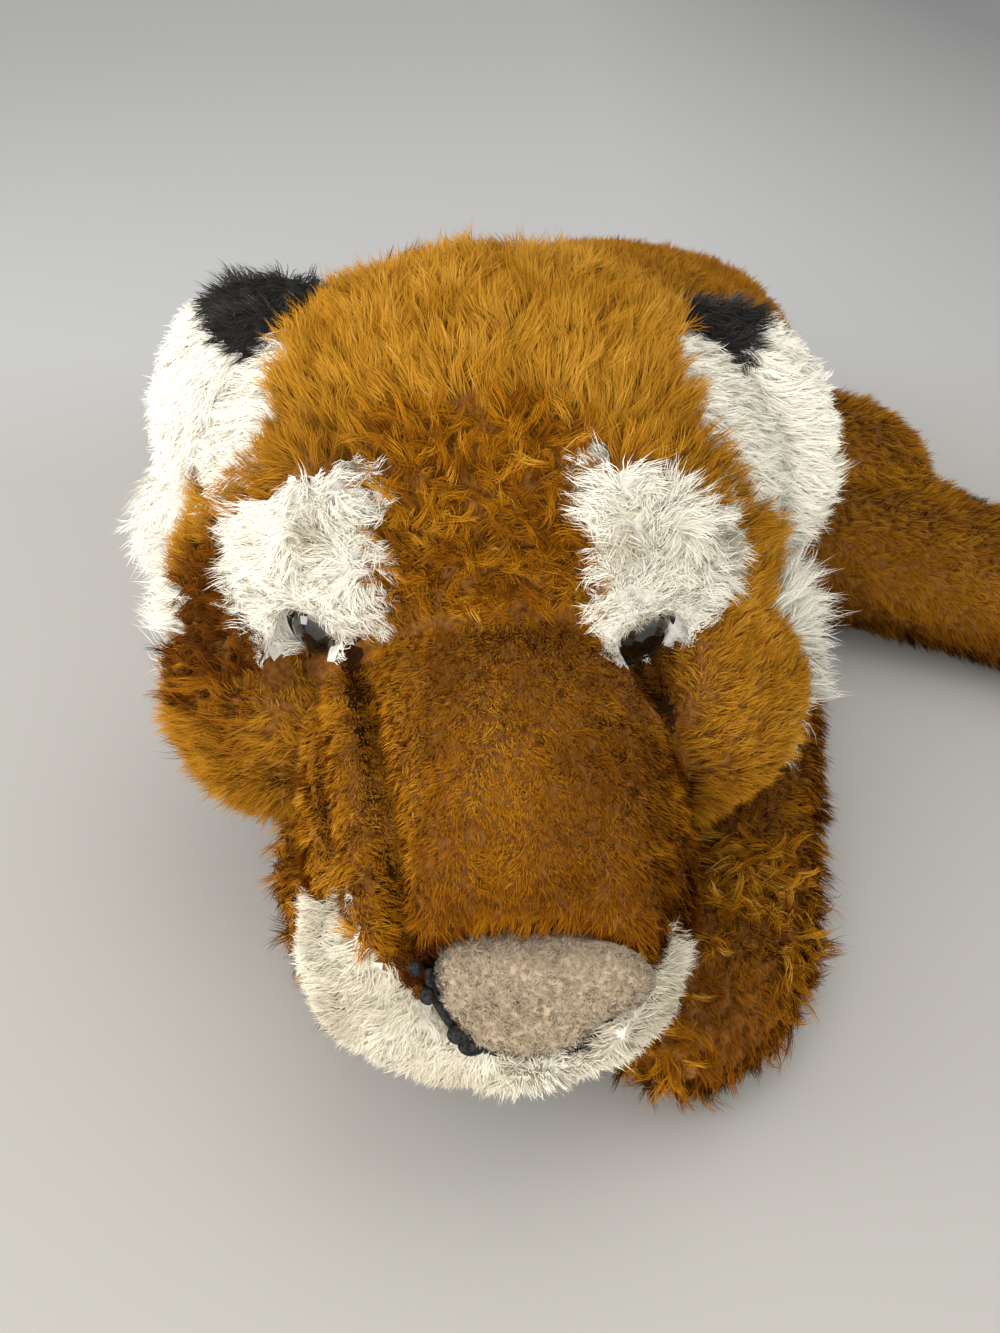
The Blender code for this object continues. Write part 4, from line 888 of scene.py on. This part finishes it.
def eyeMaterial(word, side):
    # a black pupil in a dark amber iris, by the distance from the eye's own axis
    mat, tree, shader = plainMaterial("eye_glass_" + word, (0.01, 0.008, 0.006), 0.12)
    shader.inputs["Coat Weight"].default_value = 1.0
    shader.inputs["Coat Roughness"].default_value = 0.04
    shader.inputs["Specular IOR Level"].default_value = 0.5
    place = headFrame @ eyeFrame(side)
    where = addNode(tree, "TexCoord").outputs["Object"]
    arm = addNode(tree, "VectorMath", {0: where, 1: place.translation}, "SUBTRACT").outputs["Vector"]
    across = addNode(tree, "VectorMath", {0: arm, 1: place.col[2][:3]}, "CROSS_PRODUCT").outputs["Vector"]
    reach = addNode(tree, "VectorMath", {0: across}, "LENGTH").outputs["Value"]
    share = addNode(tree, "MapRange", {"From Max": eye["radius"], "Value": reach}).outputs["Result"]
    rings = rampNode(tree, [
        (0, (0.003, 0.003, 0.003)), (0.62, (0.003, 0.003, 0.003)), (0.70, (0.020, 0.011, 0.005)),
        (0.86, (0.026, 0.015, 0.007)), (0.94, (0.004, 0.003, 0.003)),
    ], share)
    spokes = addNode(tree, "TexNoise", {"Scale": 900.0, "Vector": where}).outputs["Fac"]
    speckle = rampNode(tree, [(0.3, (0.55, 0.55, 0.55)), (0.7, (1, 1, 1))], spokes)
    tree.links.new(mixNode(tree, "MULTIPLY", rings, speckle), shader.inputs["Base Color"])
    return mat


eyeRim = {  # an almond: round behind, drawn to a point towards the nose and down
    "tip": {-1: -52, 1: -128}, "drawn": 0.42, "pointed": 0.38, "around": 48,
    "profile": (  # height, radius, whether it follows the almond
        (-0.0013, 0.0030, False), (-0.0013, 0.0121, False), (0.0006, 0.0121, True), (0.0018, 0.0116, True),
        (0.0020, 0.0107, False), (0.0010, 0.0103, False), (-0.0003, 0.0102, False), (-0.0003, 0.0030, False),
    ),
}


def almondReach(turn, side, reach):
    tip = math.radians(eyeRim["tip"][side])
    off = math.atan2(math.sin(turn - tip), math.cos(turn - tip))
    return reach * (1 + eyeRim["drawn"] * math.exp(-((off / eyeRim["pointed"]) ** 2)))


def eyeTrim(word, side):
    place = headFrame @ eyeFrame(side)
    bm = bmesh.new()
    around = eyeRim["around"]
    rings = []
    for height, radius, almond in eyeRim["profile"]:
        ring = []
        for k in range(around):
            turn = math.tau * k / around
            reach = almondReach(turn, side, radius) if almond else radius
            point = Vector((reach * math.cos(turn), reach * math.sin(turn), height))
            ring.append(bm.verts.new(place @ point))
        rings.append(ring)
    for near, far in zip(rings, rings[1:] + rings[:1]):
        for k in range(around):
            after = (k + 1) % around
            bm.faces.new((near[k], near[after], far[after], far[k]))
    bmesh.ops.recalc_face_normals(bm, faces=bm.faces)
    trim = meshObject("eye_trim_" + word, bm)
    trim.data.materials.append(felt)
    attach(trim, "head")
    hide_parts("eye_felt_" + word)


def setMaterial(node, mat):
    nodes[node].data.materials.clear()
    nodes[node].data.materials.append(mat)


felt = mottled("black_felt", [(0.35, (0.007, 0.007, 0.007)), (0.65, (0.028, 0.026, 0.025))],
               0.0009, 0.85, 0.0002)
washer = mottled("washer_plastic", [(0.4, (0.68, 0.68, 0.64)), (0.6, (0.74, 0.74, 0.71))], 0.003, 0.45)
noseCoat()
threadSkin()
for word, side in sides.items():
    eyeTrim(word, side)
    setMaterial("eye_" + word, eyeMaterial(word, side))
    setMaterial("eye_washer_" + word, washer)
print("face ready")


# Ears

ear = {
    "side": 0.080, "rise": 0.026, "drop": 0.010, "back": 0.012, "lean": 60.0, "turn": 10.0,
    "halfLength": 0.052, "halfReach": 0.040, "rim": 0.86, "farRim": (0.55, 0.95), "lowEnd": (0.020, 0.060),
}
earLooks = {  # tip: above it the ear is black all round; outward, down: how the lining's pile is combed;
    # trim, hang: shorter pile at the rim and longer pile at the low end; lobes: stuffing below the ear's base
    "left": {"tip": -0.030, "outward": 0.6, "down": 0.45, "trim": 0.0060, "hang": 0.0075, "lobes": ()},
    "right": {"tip": -0.026, "outward": 0.25, "down": 0.85, "trim": 0.0050, "hang": 0.0100,
              "lobes": (((-0.052, 0.002, -0.004), (0.028, 0.022, 0.008)),)},
}


def earFrame(side):  # in the head's frame: X along the ear's base, Y out of the skull, Z to its back
    drop = ear["drop"] if side > 0 else 0.0
    place = Vector(skull["centre"]) + Vector((side * ear["side"], ear["back"], ear["rise"] - drop))
    lean = Matrix.Rotation(math.radians(side * ear["lean"]), 4, "Y")
    turn = Matrix.Rotation(math.radians(side * ear["turn"]), 4, "Z")
    upright = Matrix(((1, 0, 0), (0, 0, 1), (0, 1, 0))).to_4x4()
    return Matrix.Translation(place) @ turn @ lean @ upright


def makeEar(word, side):
    rng = np.random.default_rng(20 + side)
    own = earLooks[word]
    place = np.array(headFrame @ earFrame(side))
    inverse = np.linalg.inv(place)
    outward, downward = place[:3, 1], place[:3, 0] * side

    def earParts(points, nearLining):  # how far down and how near the rim each point is, and which are white
        local = points @ inverse[:3, :3].T + inverse[:3, 3]
        down = local[:, 0] * side
        rim = np.hypot(down / ear["halfLength"], local[:, 1] / ear["halfReach"])
        return down, rim, (nearLining | (local[:, 2] < 0.001) | (rim > ear["rim"])) & (down > own["tip"])

    def earBacking(points):
        white = earParts(points, False)[2]
        return {"white": white, "black": ~white}

    skin = makeSkin(
        f"ear_{word}_skin", f"ear_{word}", [f"ear_back_{word}", f"ear_lining_{word}"],
        {"voxel": 0.0022, "smoothing": 2, "fuller": 0.0004, "puff": 0.0006, "fill": 0.4},
        plumps=[(headFrame @ earFrame(side), *lobe) for lobe in own["lobes"]],
        repaint=earBacking,
    )
    sample = sampleSkin(skin, rng, perSquareCm=34)
    wobble = noiseAt(sample["point"], size=0.008, seed=40 + side) * 2 - 1
    facingOut = (sample["normal"] @ inverse[:3, :3].T)[:, 2] < 0.15
    lining = facingOut | np.char.startswith(sample["node"], "ear_lining")
    down, rim, white = earParts(sample["point"] + downward * (0.003 * wobble)[:, None], lining)
    sample["comb"] = np.tile(outward * own["outward"] + downward * own["down"], (len(down), 1))
    far, low = ramped(rim, *ear["farRim"]), ramped(down, *ear["lowEnd"])
    growCoat(f"ear_{word}_lining", skin, sample, white, {
        **plush, "length": 0.0125 - own["trim"] * far + own["hang"] * low, "lengthSpread": 0.18,
        "lean": 62 + 6 * far, "gather": 0.45 + 0.35 * low, "spread": 0.0018, "curl": 0.0008 + 0.0012 * low,
        "steps": 4, "swirl": 0.35, "tone": 0.86 + 0.07 * wobble, "width": 0.00034, "drift": 0.5,
        "driftSize": 0.012,
    }, "white", rng)
    growCoat(f"ear_{word}_back", skin, sample, ~white, {
        **plush, "length": 0.0085, "lean": 50, "tone": 0.5, "toneSpread": 0.14,
    }, "black", rng)


for word, side in sides.items():
    makeEar(word, side)
print("ears ready")


# Torso

stripes = {  # across the back, each bent forwards away from the middle, and lower down narrower
    "places": (0.128, 0.158, 0.186), "offset": 0.014, "middle": -0.01, "bend": 0.18, "ragged": 0.004,
    "width": 0.0075, "low": 0.025, "high": 0.06,
}
belly = {"top": 0.012, "share": 0.6}  # below this height the pile is white and thinner


def onStripe(points):
    x, y, z = points.T
    wobble = noiseAt(points, size=0.010, seed=51) * 2 - 1
    bend = y + stripes["bend"] * np.abs(x - stripes["middle"]) + stripes["ragged"] * wobble
    reach = stripes["width"] * ramped(z, stripes["low"], stripes["high"]) * (0.75 + 0.35 * wobble)
    found = np.zeros(len(x), bool)
    for place in stripes["places"]:
        found |= np.abs(bend - place - stripes["offset"]) < reach
    return found


torsoSkin = makeSkin("torso_skin", "torso", ["torso_cover", "torso_filling", "belly_panel"],
                     {"voxel": 0.004, "smoothing": 3, "fuller": 0.0006, "puff": 0.0016, "fill": 0.7},
                     repaint=lambda points: {"black": onStripe(points)})


def torsoCoats():
    rng = np.random.default_rng(30)
    sample = sampleSkin(torsoSkin, rng, perSquareCm=13)
    point, z = sample["point"], sample["point"][:, 2]
    wobble = noiseAt(point, size=0.010, seed=51) * 2 - 1
    blotch = noiseAt(point, size=0.03, seed=52) * 2 - 1
    sample["comb"] = vectorsOf(0, 0.9, -0.35 * ramped(z, 0.02, 0.10))
    striped = onStripe(point)
    below = (sample["node"] == "belly_panel") | (z < belly["top"])
    thinned = rng.random(len(z)) < belly["share"]
    for name, mask, family, length, lean, tone in (
        ("torso_plush", ~striped & ~below, "dull", 0.0088, 52, 0.55 + 0.10 * blotch + 0.06 * wobble),
        ("torso_stripes", striped & ~below, "black", 0.0085, 52, 0.5 + 0.05 * wobble),
        ("belly_plush", below & thinned, "white", 0.0050, 66, 0.62 + 0.08 * wobble),
    ):
        look = {**plush, "length": length, "lean": lean, "tone": tone}
        growCoat(name, torsoSkin, sample, mask, look, family, rng)


torsoCoats()


# Legs and tail

limbs = {  # the root across and along the toy, the way the leg points and how far it bends in degrees
    "foreleg_left": {"root": (0.083, -0.060), "turn": 27.0, "bend": -37.0},
    "foreleg_right": {"root": (-0.074, -0.088), "turn": 12.0, "bend": 28.0},
    "hindleg_left": {"root": (0.0808, 0.048), "turn": 78.0, "bend": -4.0,
                     "hip": ((0.108, 0.068, 0.048), (0.048, 0.046, 0.040))},  # centre and half sizes
    "hindleg_right": {"root": (-0.0952, 0.048), "turn": -132.0, "bend": 16.0},
}
limbLength = {"fore": 0.234, "hind": 0.235}
limbHeight = 0.025
limbStripes = {"places": (0.40, 0.60, 0.80), "reach": 0.030}
foreCurls = {"from": 0.62, "share": 0.75}  # matted locks from this share of a foreleg's length


def heading(degrees):
    return Vector((math.sin(math.radians(degrees)), -math.cos(math.radians(degrees)), 0))


def limbLine(root, turn, bend, length, parts=5):
    points = [Vector((*root, limbHeight))]
    for k in range(parts):
        points.append(points[-1] + heading(turn + bend * (k + 0.5) / parts) * length / parts)
    return [tuple(point) for point in points]


resting = {"facing": -0.7, "height": 0.004, "thinned": 0.7}  # where the toy lies on its pile, it is thin


def notUnder(sample, rng):
    under = (sample["normal"][:, 2] < resting["facing"]) & (sample["point"][:, 2] < resting["height"])
    return ~(under & (rng.random(len(under)) < resting["thinned"]))


def makeLimb(name, limb):
    rng = np.random.default_rng(60 + sum(map(ord, name)))
    fore = name.startswith("fore")
    skin = makeSkin(name + "_skin", name, [name, name + "_filling"],
                    {"voxel": 0.0035, "smoothing": 3, "fuller": 0.0006, "puff": 0.0014, "fill": 0.7},
                    plumps=[(Matrix(), *limb["hip"])] if "hip" in limb else ())
    sample = sampleSkin(skin, rng, perSquareCm=17)
    point, normal, z = sample["point"], sample["normal"], sample["point"][:, 2]
    line = limbLine(limb["root"], limb["turn"], limb["bend"], limbLength[name[:4]])
    _, along, ahead = lineGap(point, line)
    side = np.cross(ahead, (0, 0, 1))
    wobble = noiseAt(point, size=0.009, seed=71) * 2 - 1
    blotch = noiseAt(point, size=0.022, seed=72) * 2 - 1
    sideways = (normal * side).sum(1)
    sample["comb"] = ahead + np.array([0, 0, -0.35]) + side * 0.3 * np.sign(sideways)[:, None]
    keep = notUnder(sample, rng)
    striped = np.zeros(len(z), bool)
    if not fore:
        towardsTail = sideways * (1 if limb["turn"] > 0 else -1)
        reach = limbStripes["reach"] * (0.8 + 0.3 * wobble) * ramped(-towardsTail, 0.10, 0.45)
        for place in limbStripes["places"]:
            striped |= np.abs(along - place) < reach
    curls = fore & (along > foreCurls["from"]) & (blotch + 0.4 * wobble > -0.45)
    # the legs' pile darkens towards the floor: painted shade; the forelegs also darken towards the paws
    low = ramped(z, 0.008, 0.045)
    shade = 0.50 + 0.10 * low - 0.12 * ramped(along, 0.80, 0.95) if fore else 0.29 + 0.27 * low
    tone = shade + 0.10 * blotch + 0.06 * wobble
    tufted = 0.003 * ramped(blotch, 0.2, 0.7) if fore else 0
    matted = curls & ~striped & (rng.random(len(z)) < foreCurls["share"])
    for suffix, mask, family, look in (
        ("plush", ~striped & ~curls, "russet" if fore else "dull", {
            **plush, "length": 0.0095 + tufted, "lean": 50, "tone": tone}),
        ("curls", matted, "russet", {**curly, "length": 0.0120, "lean": 60, "tone": tone + 0.05}),
        ("stripes", striped, "black", {**plush, "length": 0.0090, "lean": 50, "tone": 0.5 + 0.05 * wobble}),
    ):
        growCoat(f"{name}_{suffix}", skin, sample, mask & keep, look, family, rng)


for name, limb in limbs.items():
    makeLimb(name, limb)

tailLine = [
    (-0.012, 0.188, 0.05), (-0.0143, 0.2386, 0.033), (-0.0304, 0.2892, 0.0215), (-0.0649, 0.3329, 0.0215),
    (-0.1155, 0.3559, 0.0215), (-0.1707, 0.3559, 0.0215), (-0.2236, 0.3352, 0.0215),
]


def makeTail():
    rng = np.random.default_rng(80)
    skin = makeSkin("tail_skin", "tail", [f"tail_band_{k}" for k in range(1, 9)],
                    {"voxel": 0.003, "smoothing": 3, "fuller": 0.0005, "puff": 0.0008, "fill": 0.6})
    sample = sampleSkin(skin, rng, perSquareCm=17)
    point = sample["point"]
    sample["comb"] = lineGap(point, tailLine)[2] + np.array([0, 0, -0.2])
    wobble = noiseAt(point, size=0.009, seed=81) * 2 - 1
    black = np.isin(sample["node"], blackBands)
    keep = notUnder(sample, rng)
    for suffix, mask, family, tone in (("plush", ~black, "dull", 0.52), ("bands", black, "black", 0.5)):
        growCoat(f"tail_{suffix}", skin, sample, mask & keep,
                 {**plush, "length": 0.0085, "lean": 50, "tone": tone + 0.08 * wobble}, family, rng)


makeTail()
print("body ready")
